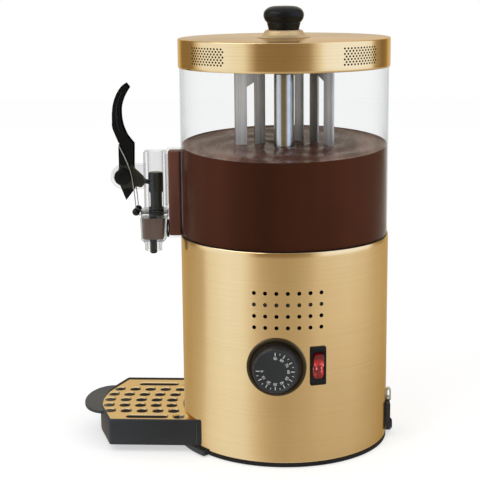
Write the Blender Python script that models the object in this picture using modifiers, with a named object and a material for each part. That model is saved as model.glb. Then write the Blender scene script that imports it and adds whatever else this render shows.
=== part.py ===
"""Hot chocolate dispenser: a heated base, a lift-off clear tank with a stirrer,
a lid, a lever tap and a pull-out drip tray.

All sizes are in metres. The machine stands on the floor plane with +Z up. The tap and
the tray point to -X, and the control panel looks to -Y. Every piece is placed in a frame
whose Z axis is the body's own axis, and one empty carries that frame.
"""
import math

import bmesh
import bpy
from mathutils import Vector

# Clearances and cuts
GAP = 0.0003
RUNNING_GAP = 0.0006
SLIDE_GAP = 0.001
OVERRUN = 0.002
MERGE = 0.00002

# Facets of the round pieces
BODY_STEPS = 48
RING_STEPS = 28
SMALL_STEPS = 16
HOLE_STEPS = 8
GRILLE_STEPS = 10
VENT_STEPS = 8
HEX_STEPS = 6
ARC_STEPS = 6

# Body shell and base plate
BODY_RADIUS = 0.115
SHELL_WALL = 0.0012
SHELL_BOTTOM = 0.005
SHELL_HEIGHT = 0.227
BASE_RIM_INSET = 0.0006
BASE_RIM_THICKNESS = 0.0031
BASE_PLUG_RISE = 0.008
SHELL_TOP = SHELL_BOTTOM + SHELL_HEIGHT
SHELL_INNER = BODY_RADIUS - SHELL_WALL
BASE_RIM_TOP = SHELL_BOTTOM - GAP
BASE_RIM_BOTTOM = BASE_RIM_TOP - BASE_RIM_THICKNESS

# Feet
FOOT_RADIUS = 0.012
FOOT_HEIGHT = 0.006
FOOT_INSET = 0.027
FOOT_ROUND = 0.0008
FOOT_ANGLES = [math.radians(45 + 90 * k) for k in range(4)]
FOOT_NAMES = ["foot_rear_right", "foot_rear_left", "foot_front_left", "foot_front_right"]

# Air vents in the body shell
VENT_RADIUS = 0.0022
VENT_COLUMNS = 7
VENT_ROWS = 4
VENT_COLUMN_PITCH = 0.0119
VENT_ROW_PITCH = 0.0123
VENT_DROP = 0.0414
VENT_ANGLE = math.radians(3.15)

# Thermostat and its dial
DIAL_ANGLE = math.radians(-2.9)
DIAL_DROP = 0.0421
BEZEL_RADIUS = 0.0307
BEZEL_RIM = 0.0024
BEZEL_STEP = 0.0006
BEZEL_LEDGE = 0.0026
KNOB_RADIUS = 0.024
KNOB_FACE_RADIUS = 0.0226
KNOB_DEPTH = 0.0145
KNOB_ROUND = 0.0012
KNOB_HOLLOW = 0.0010
DIAL_SHAFT_RADIUS = 0.003
DIAL_SHAFT_REACH = 0.012
THERMOSTAT_WIDTH = 0.036
THERMOSTAT_DEPTH = 0.026
THERMOSTAT_ROUND = 0.002

# Rocker switch
SWITCH_ANGLE = math.radians(19.1)
SWITCH_RISE = 0.0001
SWITCH_WIDTH = 0.0161
SWITCH_HEIGHT = 0.0409
SWITCH_BEZEL = 0.0022
SWITCH_ROUND = 0.0008
SWITCH_BODY_WIDTH = 0.0132
SWITCH_BODY_HEIGHT = 0.0366
SWITCH_BODY_DEPTH = 0.024
ROCKER_WIDTH = 0.0106
ROCKER_LENGTH = 0.0272
ROCKER_DEPTH = 0.0042
ROCKER_POCKET = 0.012
ROCKER_TILT = math.radians(7)

# Rear terminal cover, cable gland and cable clip
COVER_HALF_WIDTH = 0.022
COVER_BOTTOM = 0.0019
COVER_TOP = 0.0385
COVER_PROUD = 0.0053
COVER_ROUND = 0.0015
GLAND_RADIUS = 0.0050
GLAND_NUT_RADIUS = 0.0064
GLAND_NUT_LENGTH = 0.0010
GLAND_LENGTH = 0.0012
GLAND_BORE = 0.0032
GLAND_HEIGHT = 0.0095
CLIP_HEIGHT = 0.0148
CLIP_PROUD = 0.0066
CLIP_THICKNESS = 0.0014
CLIP_HALF_WIDTH = 0.006

# Heating basin, heater, drive motor and shaft
BASIN_DROP = 0.001
BASIN_WALL = 0.0012
BASIN_INSET = 0.011
BASIN_DEPTH = 0.032
BASIN_HOLE = 0.0093
HEATER_INNER = 0.040
HEATER_INSET = 0.009
HEATER_THICKNESS = 0.008
BRACKET_PLATE_DROP = 0.0185
BRACKET_PLATE_THICKNESS = 0.0025
BRACKET_PLATE_HOLE = 0.012
GEARBOX_LENGTH = 0.080
GEARBOX_WIDTH = 0.060
GEARBOX_HEIGHT = 0.038
GEARBOX_ROUND = 0.003
MOTOR_RADIUS = 0.026
MOTOR_HEIGHT = 0.055
SHAFT_RADIUS = 0.004
BUSH_RADIUS = 0.009
BUSH_FLANGE = 0.015
BUSH_FLANGE_THICKNESS = 0.003
BUSH_HEIGHT = 0.013

# Tank
TANK_INSET = 0.0003
TANK_WALL = 0.003
TANK_HEIGHT = 0.1869
SEAL_THICKNESS = 0.0015
SEAL_WIDTH = 0.0087
PAN_WALL = 0.0012
COLUMN_RADIUS = 0.011
COLUMN_WALL = 0.0012
COLUMN_DROP = 0.0125
COLUMN_FLANGE = 0.016
COLUMN_FLANGE_THICKNESS = 0.0012
COLUMN_BUSH_DEPTH = 0.010
COLUMN_BUSH_FLANGE = 0.0015

# Outlet box on the tank and its spigot
OUTLET_DEPTH = 0.0143
OUTLET_HALF_WIDTH = 0.013
OUTLET_DROP = 0.0056
OUTLET_HEIGHT = 0.0969
OUTLET_WALL = 0.002
OUTLET_ROUND = 0.003
SPIGOT_RADIUS = 0.0075
SPIGOT_BORE = 0.0055
SPIGOT_RISE = 0.0029
SPIGOT_LENGTH = 0.007
SPOUT_RING_WIDTH = 0.0022
SPOUT_RING_LENGTH = 0.0015

# Stirrer
HUB_RADIUS = 0.017
HUB_BOTTOM_GAP = 0.0006
HUB_HEIGHT = 0.0095
HUB_SOCKET = 0.0046
HUB_SOCKET_DEPTH = 0.0072
HUB_ROUND = 0.001
ARM_WIDTH = 0.008
ARM_HEIGHT = 0.0075
GATE_THICKNESS = 0.0025
GATE_WIDTH = 0.0353
GATE_OUTER_BAR = 0.0137
GATE_INNER_BAR = 0.012
GATE_FLOOR_GAP = 0.0045
GATE_FOOT = 0.012
GATE_SIDE = "left", "right", "rear"
GATE_CENTRES = {"left": (-0.0373, 0.0), "right": (0.0413, 0.0), "rear": (0.0081, 0.026)}
GATE_TURNS = {"left": math.radians(25), "right": math.radians(135), "rear": math.radians(-45)}
GATE_WINDOW_DROPS = {"left": (0.0162, 0.0108), "right": (0.0103, 0.0038), "rear": (0.0103, 0.0038)}

# Drink
DRINK_DEPTH = 0.098

# Tap chamber, collar, nozzle and guide
CHAMBER_STANDOFF = 0.0018
CHAMBER_LENGTH = 0.0286
CHAMBER_FRONT_TAPER = 0.0011
CHAMBER_REAR_TAPER = 0.0032
CHAMBER_HALF_WIDTH = 0.0115
CHAMBER_DROP = 0.0134
CHAMBER_HEIGHT = 0.0263
CHAMBER_WALL = 0.002
CHAMBER_ROUND = 0.0025
COLLAR_LENGTH = 0.0304
COLLAR_HALF_WIDTH = 0.0125
COLLAR_HEIGHT = 0.0085
COLLAR_ROUND = 0.0025
COLLAR_LUG_LENGTH = 0.0080
COLLAR_LUG_HALF_WIDTH = 0.0040
COLLAR_LUG_RISE = 0.0030
NOZZLE_RADIUS = 0.0096
NOZZLE_WALL = 0.002
NOZZLE_FLANGE = 0.0112
NOZZLE_FLANGE_THICKNESS = 0.0022
NOZZLE_HEIGHT = 0.0112
GUIDE_STANDOFF = 0.0022
GUIDE_LENGTH = 0.0241
GUIDE_HALF_WIDTH = 0.0105
GUIDE_HEIGHT = 0.0653
GUIDE_ROUND = 0.002
GUIDE_BORE = 0.0087
GUIDE_WINDOW_HALF_WIDTH = 0.0042
GUIDE_WINDOW_DROP = 0.0025
GUIDE_WINDOW_HEIGHT = 0.0210
GUIDE_WEB_HALF_WIDTH = 0.004
GUIDE_WEB_RISE = 0.005
GUIDE_WEB_DROP = 0.0043

# Plunger
PLUNGER_STANDOFF = 0.0138
PLUNGER_RISE = 0.0131
HEAD_RADIUS = 0.0081
HEAD_ROUND = 0.0010
HEAD_HEIGHT = 0.0212
NECK_RISE = 0.003
WAIST_RADIUS = 0.0065
PISTON_RADIUS = 0.0083
PISTON_HEIGHT = 0.0065
PISTON_LIFT = 0.0018
PLUNGER_SEAL_WIDTH = 0.0014
PLUNGER_SEAL_HEIGHT = 0.0022
STEM_OFFSET = 0.0042
STEM_RADIUS = 0.004
STEM_PROUD = 0.0037
STEM_ROUND = 0.0012
STEM_FLAT = 0.0024
STEM_SEAT_LAP = 0.0012

# Lever
PIVOT_REACH = 0.0358
PIVOT_RISE = 0.0372
LEVER_HEIGHT = 0.102
LEVER_THICKNESS = 0.010
LEVER_ROUND = 0.0012
LEVER_HUB_RADIUS = 0.009
LEVER_ROOT = 0.0131
ARM_HALF_THICKNESS = 0.003
NOSE_DROP = 0.0085
NOSE_RADIUS = 0.0038
NOSE_NECK = 0.0019
SLOT_HALF_HEIGHT = 0.0043
SLOT_HALF_WIDTH = 0.0037
SLOT_REACH = 0.0054
PIN_RADIUS = 0.002
LUG_RADIUS = 0.0133
LUG_THICKNESS = 0.0025
LUG_INSIDE = 0.006
CAP_RADIUS = 0.0092
CAP_THICKNESS = 0.0028
CAP_ROUND = 0.0008
LEVER_TIP_RADIUS = 0.0022
HORN_OUTER_SHARES = [(-0.031, 0.378), (-0.090, 0.527), (-0.094, 0.606), (-0.091, 0.699),
                     (-0.0745, 0.800), (-0.039, 0.892), (0.010, 0.966), (0.052, 1.0)]
HORN_INNER_SHARES = [(0.079, 0.965), (0.050, 0.920), (0.016, 0.855), (-0.010, 0.773),
                     (-0.017, 0.699), (-0.010, 0.606), (0.011, 0.523), (0.050, 0.438), (0.114, 0.355)]
BLOCK_SHARES = [(0.107, 0.102), (0.107, 0.0)]
NOTCH_SHARES = [(-0.0323, 0.326), (-0.019, 0.344), (-0.019, 0.362)]
TAIL_SHARES = [(0.109, -0.139), (0.031, -0.238), (-0.035, -0.101)]
ARM_TOP_SHARES = [(0.078, 0.130), (0.107, 0.102), (0.198, 0.0167), (0.240, -0.0333)]
ARM_BOTTOM_SHARES = [(0.240, -0.0800), (0.194, -0.1245), (0.128, -0.1108), (0.078, -0.060)]

# Return spring of bent wire and its anchor
WIRE_RADIUS = 0.0006
WIRE_HALF_SPAN = 0.0097
WIRE_TOP_SHARES = (-0.0310, 0.3525)
WIRE_KNEE_BEYOND_CAP = (-0.0017, 0.0021)
WIRE_HIP_BEYOND_CAP = (0.0026, -0.0003)
ANCHOR_BALL_RADIUS = 0.0043
ANCHOR_PIN_RADIUS = 0.0022
ANCHOR_STANDOFF = 0.0047
ANCHOR_RISE = 0.0070

# Lid
LID_OVERHANG = 0.001
LID_WALL = 0.001
LID_LAP = 0.0033
LID_HEIGHT = 0.0318
LID_ROUND = 0.0022
LID_SEAL_HEIGHT = 0.0015
BOSS_TOP_RADIUS = 0.0205
BOSS_RADIUS = 0.0267
BOSS_HEIGHT = 0.0036
BOSS_ROUND = 0.0008
SCREW_RADIUS = 0.0027
SCREW_HEAD_RADIUS = 0.006
SCREW_HEAD_HEIGHT = 0.003
SCREW_REACH = 0.015
LID_KNOB_RADIUS = 0.0219
LID_KNOB_HEIGHT = 0.0286
LID_KNOB_SHARES = [(0.28, 1.0), (0.58, 0.975), (0.80, 0.895), (0.945, 0.80), (1.0, 0.67),
                   (0.975, 0.545), (0.90, 0.425), (0.80, 0.325), (0.79, 0.275), (0.755, 0.26),
                   (0.765, 0.10), (0.765, 0.0)]

# Drip tray, its bracket and its grille
TRAY_BOTTOM = 0.0078
TRAY_TOP = 0.0379
TRAY_HALF_WIDTH = 0.075
TRAY_WALL = 0.0024
TRAY_LEDGE = 0.0026
TRAY_SIDE_LENGTH = 0.0765
TRAY_FRONT_HALF_WIDTH = 0.027
TRAY_FRONT_TAPER = 0.017
TRAY_NOSE_BOW = 0.0027
TRAY_BODY_GAP = 0.0012
LIP_HALF_WIDTH = 0.0465
LIP_LENGTH = 0.0197
LIP_THICKNESS = 0.0032
LIP_DROP = 0.0008
GRILLE_THICKNESS = 0.0012
GRILLE_DROP = 0.0022
GRILLE_HOLE_RADIUS = 0.0061
GRILLE_ROW_PITCH = 0.0191
GRILLE_COLUMN_PITCH = 0.01794
GRILLE_ROWS = 5
GRILLE_COLUMNS = 5
GRILLE_HOLE_INSET = 0.0145
SLOT_INSET = 0.0129
SLOT_LENGTH = 0.0474
SLOT_RADIUS = 0.0050
BRACKET_WIDTH = 0.0105
BRACKET_SPREAD = math.radians(49)

# Sizes that follow from those above
FOOT_CIRCLE = BODY_RADIUS - FOOT_INSET
VENT_TOP = SHELL_TOP - VENT_DROP
DIAL_HEIGHT = VENT_TOP - (VENT_ROWS - 1) * VENT_ROW_PITCH - DIAL_DROP
SWITCH_CENTRE = DIAL_HEIGHT + SWITCH_RISE
BASIN_RADIUS = BODY_RADIUS - BASIN_INSET
HEATER_OUTER = BASIN_RADIUS - HEATER_INSET
BASIN_TOP = SHELL_TOP - BASIN_DROP
BASIN_FLOOR = BASIN_TOP - BASIN_DEPTH
BASIN_UNDERSIDE = BASIN_FLOOR - BASIN_WALL
PLATE_TOP = BASIN_UNDERSIDE - BRACKET_PLATE_DROP
PLATE_BOTTOM = PLATE_TOP - BRACKET_PLATE_THICKNESS
GEARBOX_TOP = PLATE_BOTTOM - GAP
SEAL_BOTTOM = SHELL_TOP + GAP
SEAL_TOP = SEAL_BOTTOM + SEAL_THICKNESS
TANK_RADIUS = BODY_RADIUS - TANK_INSET
SEAL_INNER = TANK_RADIUS - SEAL_WIDTH
TANK_BOTTOM = SEAL_TOP + GAP
TANK_TOP = TANK_BOTTOM + TANK_HEIGHT
TANK_INNER = TANK_RADIUS - TANK_WALL
COLUMN_TOP = TANK_TOP - COLUMN_DROP
DRINK_LEVEL = TANK_BOTTOM + DRINK_DEPTH
PAN_RADIUS = BASIN_RADIUS - RUNNING_GAP
PAN_UNDERSIDE = BASIN_FLOOR + GAP
PAN_FLOOR = PAN_UNDERSIDE + PAN_WALL
HUB_BOTTOM = COLUMN_TOP + GAP + COLUMN_BUSH_FLANGE + HUB_BOTTOM_GAP
HUB_TOP = HUB_BOTTOM + HUB_HEIGHT
SHAFT_TOP = HUB_BOTTOM + HUB_SOCKET_DEPTH - RUNNING_GAP
GATE_TOP = HUB_BOTTOM - GAP
GATE_BOTTOM = PAN_FLOOR + GATE_FLOOR_GAP
OUTLET_REACH = TANK_RADIUS + OUTLET_DEPTH
OUTLET_BOTTOM = TANK_BOTTOM - OUTLET_DROP
OUTLET_TOP = OUTLET_BOTTOM + OUTLET_HEIGHT
SPIGOT_HEIGHT = TANK_BOTTOM + SPIGOT_RISE
CHAMBER_RIGHT = OUTLET_REACH + CHAMBER_STANDOFF
CHAMBER_LEFT = CHAMBER_RIGHT + CHAMBER_LENGTH
CHAMBER_BOTTOM_LEFT = CHAMBER_LEFT - CHAMBER_FRONT_TAPER
CHAMBER_BOTTOM_RIGHT = CHAMBER_RIGHT + CHAMBER_REAR_TAPER
CHAMBER_BOTTOM = SPIGOT_HEIGHT - CHAMBER_DROP
CHAMBER_TOP = CHAMBER_BOTTOM + CHAMBER_HEIGHT
COLLAR_RIGHT = OUTLET_REACH + GAP
COLLAR_LEFT = COLLAR_RIGHT + COLLAR_LENGTH
COLLAR_BOTTOM = CHAMBER_TOP + GAP
COLLAR_TOP = COLLAR_BOTTOM + COLLAR_HEIGHT
GUIDE_RIGHT = OUTLET_REACH + GUIDE_STANDOFF
GUIDE_LEFT = GUIDE_RIGHT + GUIDE_LENGTH
GUIDE_BOTTOM = COLLAR_TOP + GAP
GUIDE_TOP = GUIDE_BOTTOM + GUIDE_HEIGHT
GUIDE_WEB_BOTTOM = GUIDE_BOTTOM + GUIDE_WEB_RISE
GUIDE_WEB_TOP = GUIDE_TOP - GUIDE_WEB_DROP
PLUNGER_X = OUTLET_REACH + PLUNGER_STANDOFF
STEM_X = PLUNGER_X + STEM_OFFSET
STEM_BOTTOM = CHAMBER_BOTTOM - GAP - NOZZLE_HEIGHT - STEM_PROUD
PIVOT_X = PLUNGER_X + PIVOT_REACH
PIVOT_Z = GUIDE_BOTTOM + PIVOT_RISE
NOSE_X = PIVOT_X - PLUNGER_X
NOSE_Z = PIVOT_Z - NOSE_DROP
PLUNGER_TOP = NOSE_Z + PLUNGER_RISE
GUIDE_WINDOW_BOTTOM = NOSE_Z - GUIDE_WINDOW_DROP
GUIDE_WINDOW_TOP = GUIDE_WINDOW_BOTTOM + GUIDE_WINDOW_HEIGHT
ANCHOR_X = COLLAR_LEFT + ANCHOR_STANDOFF
ANCHOR_Z = COLLAR_BOTTOM + ANCHOR_RISE
LID_RADIUS = BODY_RADIUS + LID_OVERHANG
LID_BOTTOM = TANK_TOP - LID_LAP
LID_TOP = LID_BOTTOM + LID_HEIGHT
TRAY_SHOULDER_REACH = BODY_RADIUS + TRAY_SIDE_LENGTH
TRAY_FRONT_REACH = TRAY_SHOULDER_REACH + TRAY_FRONT_TAPER
TRAY_NOSE_REACH = TRAY_FRONT_REACH + TRAY_NOSE_BOW
LIP_REACH = TRAY_NOSE_REACH + LIP_LENGTH
GRILLE_FIRST_ARC = BODY_RADIUS + GRILLE_HOLE_INSET
SLOT_START = BODY_RADIUS + SLOT_INSET
SLOT_END = SLOT_START + SLOT_LENGTH
GRILLE_TOP = TRAY_TOP - GRILLE_DROP
GRILLE_BOTTOM = GRILLE_TOP - GRILLE_THICKNESS
TRAY_STEP = GRILLE_BOTTOM - GAP
TRAY_REAR_RADIUS = BODY_RADIUS + TRAY_BODY_GAP
BOSS_BOTTOM = LID_TOP + GAP
BOSS_TOP = BOSS_BOTTOM + BOSS_HEIGHT
KNOB_BASE = BOSS_TOP + GAP
BEZEL_FRONT = BODY_RADIUS + BEZEL_RIM
KNOB_BACK = BEZEL_FRONT - BEZEL_STEP + GAP
KNOB_FRONT = KNOB_BACK + KNOB_DEPTH
REAR_REACH = BODY_RADIUS + COVER_PROUD + GLAND_NUT_LENGTH + GLAND_LENGTH
DIAL_REACH = KNOB_FRONT * math.cos(DIAL_ANGLE) + KNOB_FACE_RADIUS * abs(math.sin(DIAL_ANGLE))
AXIS_X = (LIP_REACH - REAR_REACH) / 2
AXIS_Y = (DIAL_REACH - LID_RADIUS) / 2

# Finishes: colour, roughness, metallic
FINISHES = {
    "gold": ((0.62, 0.44, 0.20), 0.32, 1.0),
    "steel": ((0.62, 0.62, 0.60), 0.28, 1.0),
    "black_plastic": ((0.022, 0.022, 0.024), 0.42, 0.0),
    "black_gloss": ((0.010, 0.010, 0.011), 0.18, 0.0),
    "rubber": ((0.016, 0.016, 0.017), 0.75, 0.0),
    "clear": ((0.88, 0.90, 0.91), 0.06, 0.0),
    "grey_plastic": ((0.30, 0.31, 0.31), 0.45, 0.0),
    "red_lens": ((0.62, 0.03, 0.02), 0.20, 0.0),
    "chocolate": ((0.075, 0.022, 0.010), 0.22, 0.0),
    "motor_grey": ((0.24, 0.25, 0.26), 0.5, 0.6),
    "heater": ((0.35, 0.16, 0.08), 0.7, 0.0),
}

PARTS = None
CUTTERS = None
MATERIALS = {}


def start_scene():
    """Empty the scene and make the collections and materials."""
    global PARTS, CUTTERS
    for obj in list(bpy.data.objects):
        bpy.data.objects.remove(obj, do_unlink=True)
    PARTS = bpy.data.collections.new("hot_chocolate_dispenser")
    CUTTERS = bpy.data.collections.new("cutters")
    bpy.context.scene.collection.children.link(PARTS)
    bpy.context.scene.collection.children.link(CUTTERS)
    for name, (colour, roughness, metallic) in FINISHES.items():
        mat = bpy.data.materials.new(name)
        mat.use_nodes = True
        shader = mat.node_tree.nodes["Principled BSDF"]
        shader.inputs["Base Color"].default_value = (*colour, 1.0)
        shader.inputs["Roughness"].default_value = roughness
        shader.inputs["Metallic"].default_value = metallic
        MATERIALS[name] = mat


def empty(name, parent=None, place=(0, 0, 0), turn=(0, 0, 0)):
    """A frame that carries the pieces of one moving body."""
    obj = bpy.data.objects.new(name, None)
    PARTS.objects.link(obj)
    obj.parent = parent
    obj.location = place
    obj.rotation_euler = turn
    return obj


def add(name, data, finish, parent, place=(0, 0, 0), turn=(0, 0, 0)):
    """Link a piece, or a cutter where no finish is given, at its place."""
    obj = bpy.data.objects.new(name, data)
    if finish is None:
        CUTTERS.objects.link(obj)
        obj.hide_render = True
        obj.display_type = "WIRE"
    else:
        PARTS.objects.link(obj)
        data.materials.append(MATERIALS[finish])
    obj.parent = parent
    obj.location = place
    obj.rotation_euler = turn
    return obj


def mesh_from(bm, name):
    """Turn a bmesh into a mesh with smooth round sides and sharp edges."""
    bmesh.ops.recalc_face_normals(bm, faces=bm.faces)
    mesh = bpy.data.meshes.new(name)
    bm.to_mesh(mesh)
    bm.free()
    mesh.shade_smooth()
    mesh.set_sharp_from_angle(angle=math.radians(35))
    return mesh


def box(name, low, high, finish, parent, round_edge=0.0, place=(0, 0, 0), turn=(0, 0, 0)):
    """A block between two corners, with rounded edges where a radius is given."""
    bm = bmesh.new()
    bmesh.ops.create_cube(bm, size=1)
    low = Vector(low)
    high = Vector(high)
    for vert in bm.verts:
        for axis in range(3):
            vert.co[axis] = low[axis] if vert.co[axis] < 0 else high[axis]
    obj = add(name, mesh_from(bm, name), finish, parent, place, turn)
    if round_edge > 0:
        bevel(obj, round_edge)
    return obj


def bevel(obj, width, segments=2):
    """Round the sharp edges of a piece."""
    mod = obj.modifiers.new("rounded edges", "BEVEL")
    mod.width = width
    mod.segments = segments
    mod.limit_method = "ANGLE"
    mod.angle_limit = math.radians(40)
    return mod


def cylinder(name, radius, low, high, finish, parent, steps=RING_STEPS, centre=(0, 0),
             place=(0, 0, 0), turn=(0, 0, 0)):
    """An upright cylinder between two heights."""
    bm = bmesh.new()
    bmesh.ops.create_cone(bm, cap_ends=True, segments=steps, radius1=radius, radius2=radius,
                          depth=high - low)
    bmesh.ops.translate(bm, verts=bm.verts, vec=(centre[0], centre[1], (low + high) / 2))
    return add(name, mesh_from(bm, name), finish, parent, place, turn)


def turned(name, profile, finish, parent, steps=RING_STEPS, place=(0, 0, 0), turn=(0, 0, 0)):
    """A turned piece from a profile of radius and height, top to bottom on its outer side.

    A profile that starts and ends on the axis stays open there; any other is closed.
    """
    on_axis = profile[0][0] == 0 and profile[-1][0] == 0
    bm = bmesh.new()
    verts = [bm.verts.new((r, 0, z)) for r, z in profile]
    for a, b in zip(verts, verts[1:]):
        bm.edges.new((a, b))
    if not on_axis:
        bm.edges.new((verts[-1], verts[0]))
    mesh = bpy.data.meshes.new(name)
    bm.to_mesh(mesh)
    bm.free()
    obj = add(name, mesh, finish, parent, place, turn)
    mod = obj.modifiers.new("turned shape", "SCREW")
    mod.axis = "Z"
    mod.steps = steps
    mod.render_steps = steps
    mod.use_merge_vertices = True
    mod.merge_threshold = MERGE
    mod.use_smooth_shade = True
    return obj


def outline(name, loops, low, high, finish, parent, place=(0, 0, 0), turn=(0, 0, 0)):
    """A flat outline with its holes, given thickness between two heights."""
    curve = bpy.data.curves.new(name, "CURVE")
    curve.dimensions = "2D"
    curve.fill_mode = "BOTH"
    curve.extrude = (high - low) / 2
    for loop in loops:
        spline = curve.splines.new("POLY")
        spline.points.add(len(loop) - 1)
        for point, (x, y) in zip(spline.points, loop):
            point.co = (x, y, 0, 1)
        spline.use_cyclic_u = True
    flat = bpy.data.objects.new(name + " outline", curve)
    CUTTERS.objects.link(flat)
    bpy.context.view_layer.update()
    depsgraph = bpy.context.evaluated_depsgraph_get()
    raw = bpy.data.meshes.new_from_object(flat.evaluated_get(depsgraph))
    bm = bmesh.new()
    bm.from_mesh(raw)
    bmesh.ops.remove_doubles(bm, verts=bm.verts, dist=MERGE)
    bmesh.ops.translate(bm, verts=bm.verts, vec=(0, 0, (low + high) / 2))
    bpy.data.objects.remove(flat, do_unlink=True)
    bpy.data.meshes.remove(raw)
    bpy.data.curves.remove(curve)
    return add(name, mesh_from(bm, name), finish, parent, place, turn)


def wire(name, points, radius, finish, parent, place=(0, 0, 0)):
    """A round wire along a path."""
    curve = bpy.data.curves.new(name, "CURVE")
    curve.dimensions = "3D"
    curve.bevel_depth = radius
    curve.bevel_resolution = 2
    curve.use_fill_caps = True
    spline = curve.splines.new("POLY")
    spline.points.add(len(points) - 1)
    for point, co in zip(spline.points, points):
        point.co = (*co, 1)
    return add(name, curve, finish, parent, place)


def merge_cutters(name, cutters):
    """Make one cutter of several that don't touch."""
    bm = bmesh.new()
    for cutter in cutters:
        start = len(bm.verts)
        bm.from_mesh(cutter.data)
        bm.verts.ensure_lookup_table()
        fresh = bm.verts[start:]
        bmesh.ops.transform(bm, matrix=cutter.matrix_basis, verts=fresh)
    parent = cutters[0].parent
    for cutter in cutters:
        bpy.data.objects.remove(cutter, do_unlink=True)
    return add(name, mesh_from(bm, name), None, parent)


def cut(obj, cutter):
    """Take a cutter's shape out of a piece."""
    mod = obj.modifiers.new("cut " + cutter.name, "BOOLEAN")
    mod.operation = "DIFFERENCE"
    mod.solver = "EXACT"
    mod.object = cutter
    return obj


def join(obj, other):
    """Make a second shape part of a piece."""
    mod = obj.modifiers.new("join " + other.name, "BOOLEAN")
    mod.operation = "UNION"
    mod.solver = "EXACT"
    mod.object = other
    return obj


def circle(radius, steps, centre=(0, 0), start=0.0, sweep=2 * math.pi, ends=False):
    """Points along a circle or, with both ends, along an arc."""
    count = steps + 1 if ends else steps
    points = []
    for k in range(count):
        angle = start + sweep * k / steps
        points.append((centre[0] + radius * math.cos(angle), centre[1] + radius * math.sin(angle)))
    return points


def inset(points, distance):
    """Move every edge of a counter-clockwise outline inwards by one distance."""
    moved = []
    count = len(points)
    for k in range(count):
        before = Vector(points[k - 1])
        here = Vector(points[k])
        after = Vector(points[(k + 1) % count])
        first = (here - before).normalized()
        second = (after - here).normalized()
        normal_a = Vector((-first.y, first.x))
        normal_b = Vector((-second.y, second.x))
        middle = (normal_a + normal_b).normalized()
        moved.append(tuple(here + middle * (distance / middle.dot(normal_a))))
    return moved


def smooth_path(points, pieces=3):
    """A smooth curve through the points, as a chain of short straight pieces."""
    path = []
    last = len(points) - 1
    for k in range(last):
        p0 = Vector(points[max(k - 1, 0)])
        p1 = Vector(points[k])
        p2 = Vector(points[k + 1])
        p3 = Vector(points[min(k + 2, last)])
        for step in range(pieces):
            t = step / pieces
            a = p1 * 2
            b = (p2 - p0) * t
            c = (p0 * 2 - p1 * 5 + p2 * 4 - p3) * t ** 2
            d = (p1 * 3 - p0 - p2 * 3 + p3) * t ** 3
            path.append(tuple((a + b + c + d) / 2))
    path.append(tuple(points[last]))
    return path


def scaled(shares, size):
    """Turn a table of shares into points of the size that they follow."""
    return [(x * size, y * size) for x, y in shares]


def radial_turn(angle):
    """Local Z points out of the body at an angle from -Y, and local Y points up."""
    return (math.radians(90), 0, angle)


def base_plate(axis):
    """Black base moulding with a rim below the shell and pockets for the feet."""
    plug = SHELL_INNER - GAP
    rim = BODY_RADIUS - BASE_RIM_INSET
    plate_top = SHELL_BOTTOM + BASE_PLUG_RISE
    profile = [(0, plate_top), (plug, plate_top), (plug, BASE_RIM_TOP), (rim, BASE_RIM_TOP),
               (rim, BASE_RIM_BOTTOM), (0, BASE_RIM_BOTTOM)]
    plate = turned("base_plate", profile, "black_plastic", axis, BODY_STEPS)
    pockets = []
    for k, angle in enumerate(FOOT_ANGLES):
        centre = (FOOT_CIRCLE * math.cos(angle), FOOT_CIRCLE * math.sin(angle))
        pockets.append(cylinder("foot pocket %d" % k, FOOT_RADIUS + GAP, BASE_RIM_BOTTOM - OVERRUN,
                                FOOT_HEIGHT + GAP, None, axis, SMALL_STEPS, centre))
    cut(plate, merge_cutters("foot pockets", pockets))


def feet(axis):
    """Four rubber feet."""
    for name, angle in zip(FOOT_NAMES, FOOT_ANGLES):
        place = (FOOT_CIRCLE * math.cos(angle), FOOT_CIRCLE * math.sin(angle), 0)
        foot = cylinder(name, FOOT_RADIUS, 0, FOOT_HEIGHT, "rubber", axis, SMALL_STEPS, place=place)
        bevel(foot, FOOT_ROUND, 1)


def body_shell(axis):
    """Gold tube with the air vents, the dial's bore and the switch's cut-out."""
    profile = [(BODY_RADIUS, SHELL_TOP), (BODY_RADIUS, SHELL_BOTTOM),
               (SHELL_INNER, SHELL_BOTTOM), (SHELL_INNER, SHELL_TOP)]
    shell = turned("body_shell", profile, "gold", axis, BODY_STEPS)
    pitch = VENT_COLUMN_PITCH / BODY_RADIUS
    holes = []
    for column in range(VENT_COLUMNS):
        angle = VENT_ANGLE + pitch * (column - (VENT_COLUMNS - 1) / 2)
        for row in range(VENT_ROWS):
            place = (0, 0, VENT_TOP - row * VENT_ROW_PITCH)
            holes.append(cylinder("vent", VENT_RADIUS, SHELL_INNER - OVERRUN, BODY_RADIUS + OVERRUN,
                                  None, axis, VENT_STEPS, place=place, turn=radial_turn(angle)))
    holes.append(cylinder("dial bore", DIAL_SHAFT_RADIUS + SLIDE_GAP, SHELL_INNER - OVERRUN,
                          BODY_RADIUS + OVERRUN, None, axis, SMALL_STEPS,
                          place=(0, 0, DIAL_HEIGHT), turn=radial_turn(DIAL_ANGLE)))
    half_width = SWITCH_BODY_WIDTH / 2 + GAP
    half_height = SWITCH_BODY_HEIGHT / 2 + GAP
    holes.append(box("switch opening", (-half_width, -half_height, SHELL_INNER - OVERRUN),
                     (half_width, half_height, BODY_RADIUS + OVERRUN), None, axis,
                     place=(0, 0, SWITCH_CENTRE), turn=radial_turn(SWITCH_ANGLE)))
    cut(shell, merge_cutters("shell openings", holes))


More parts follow.
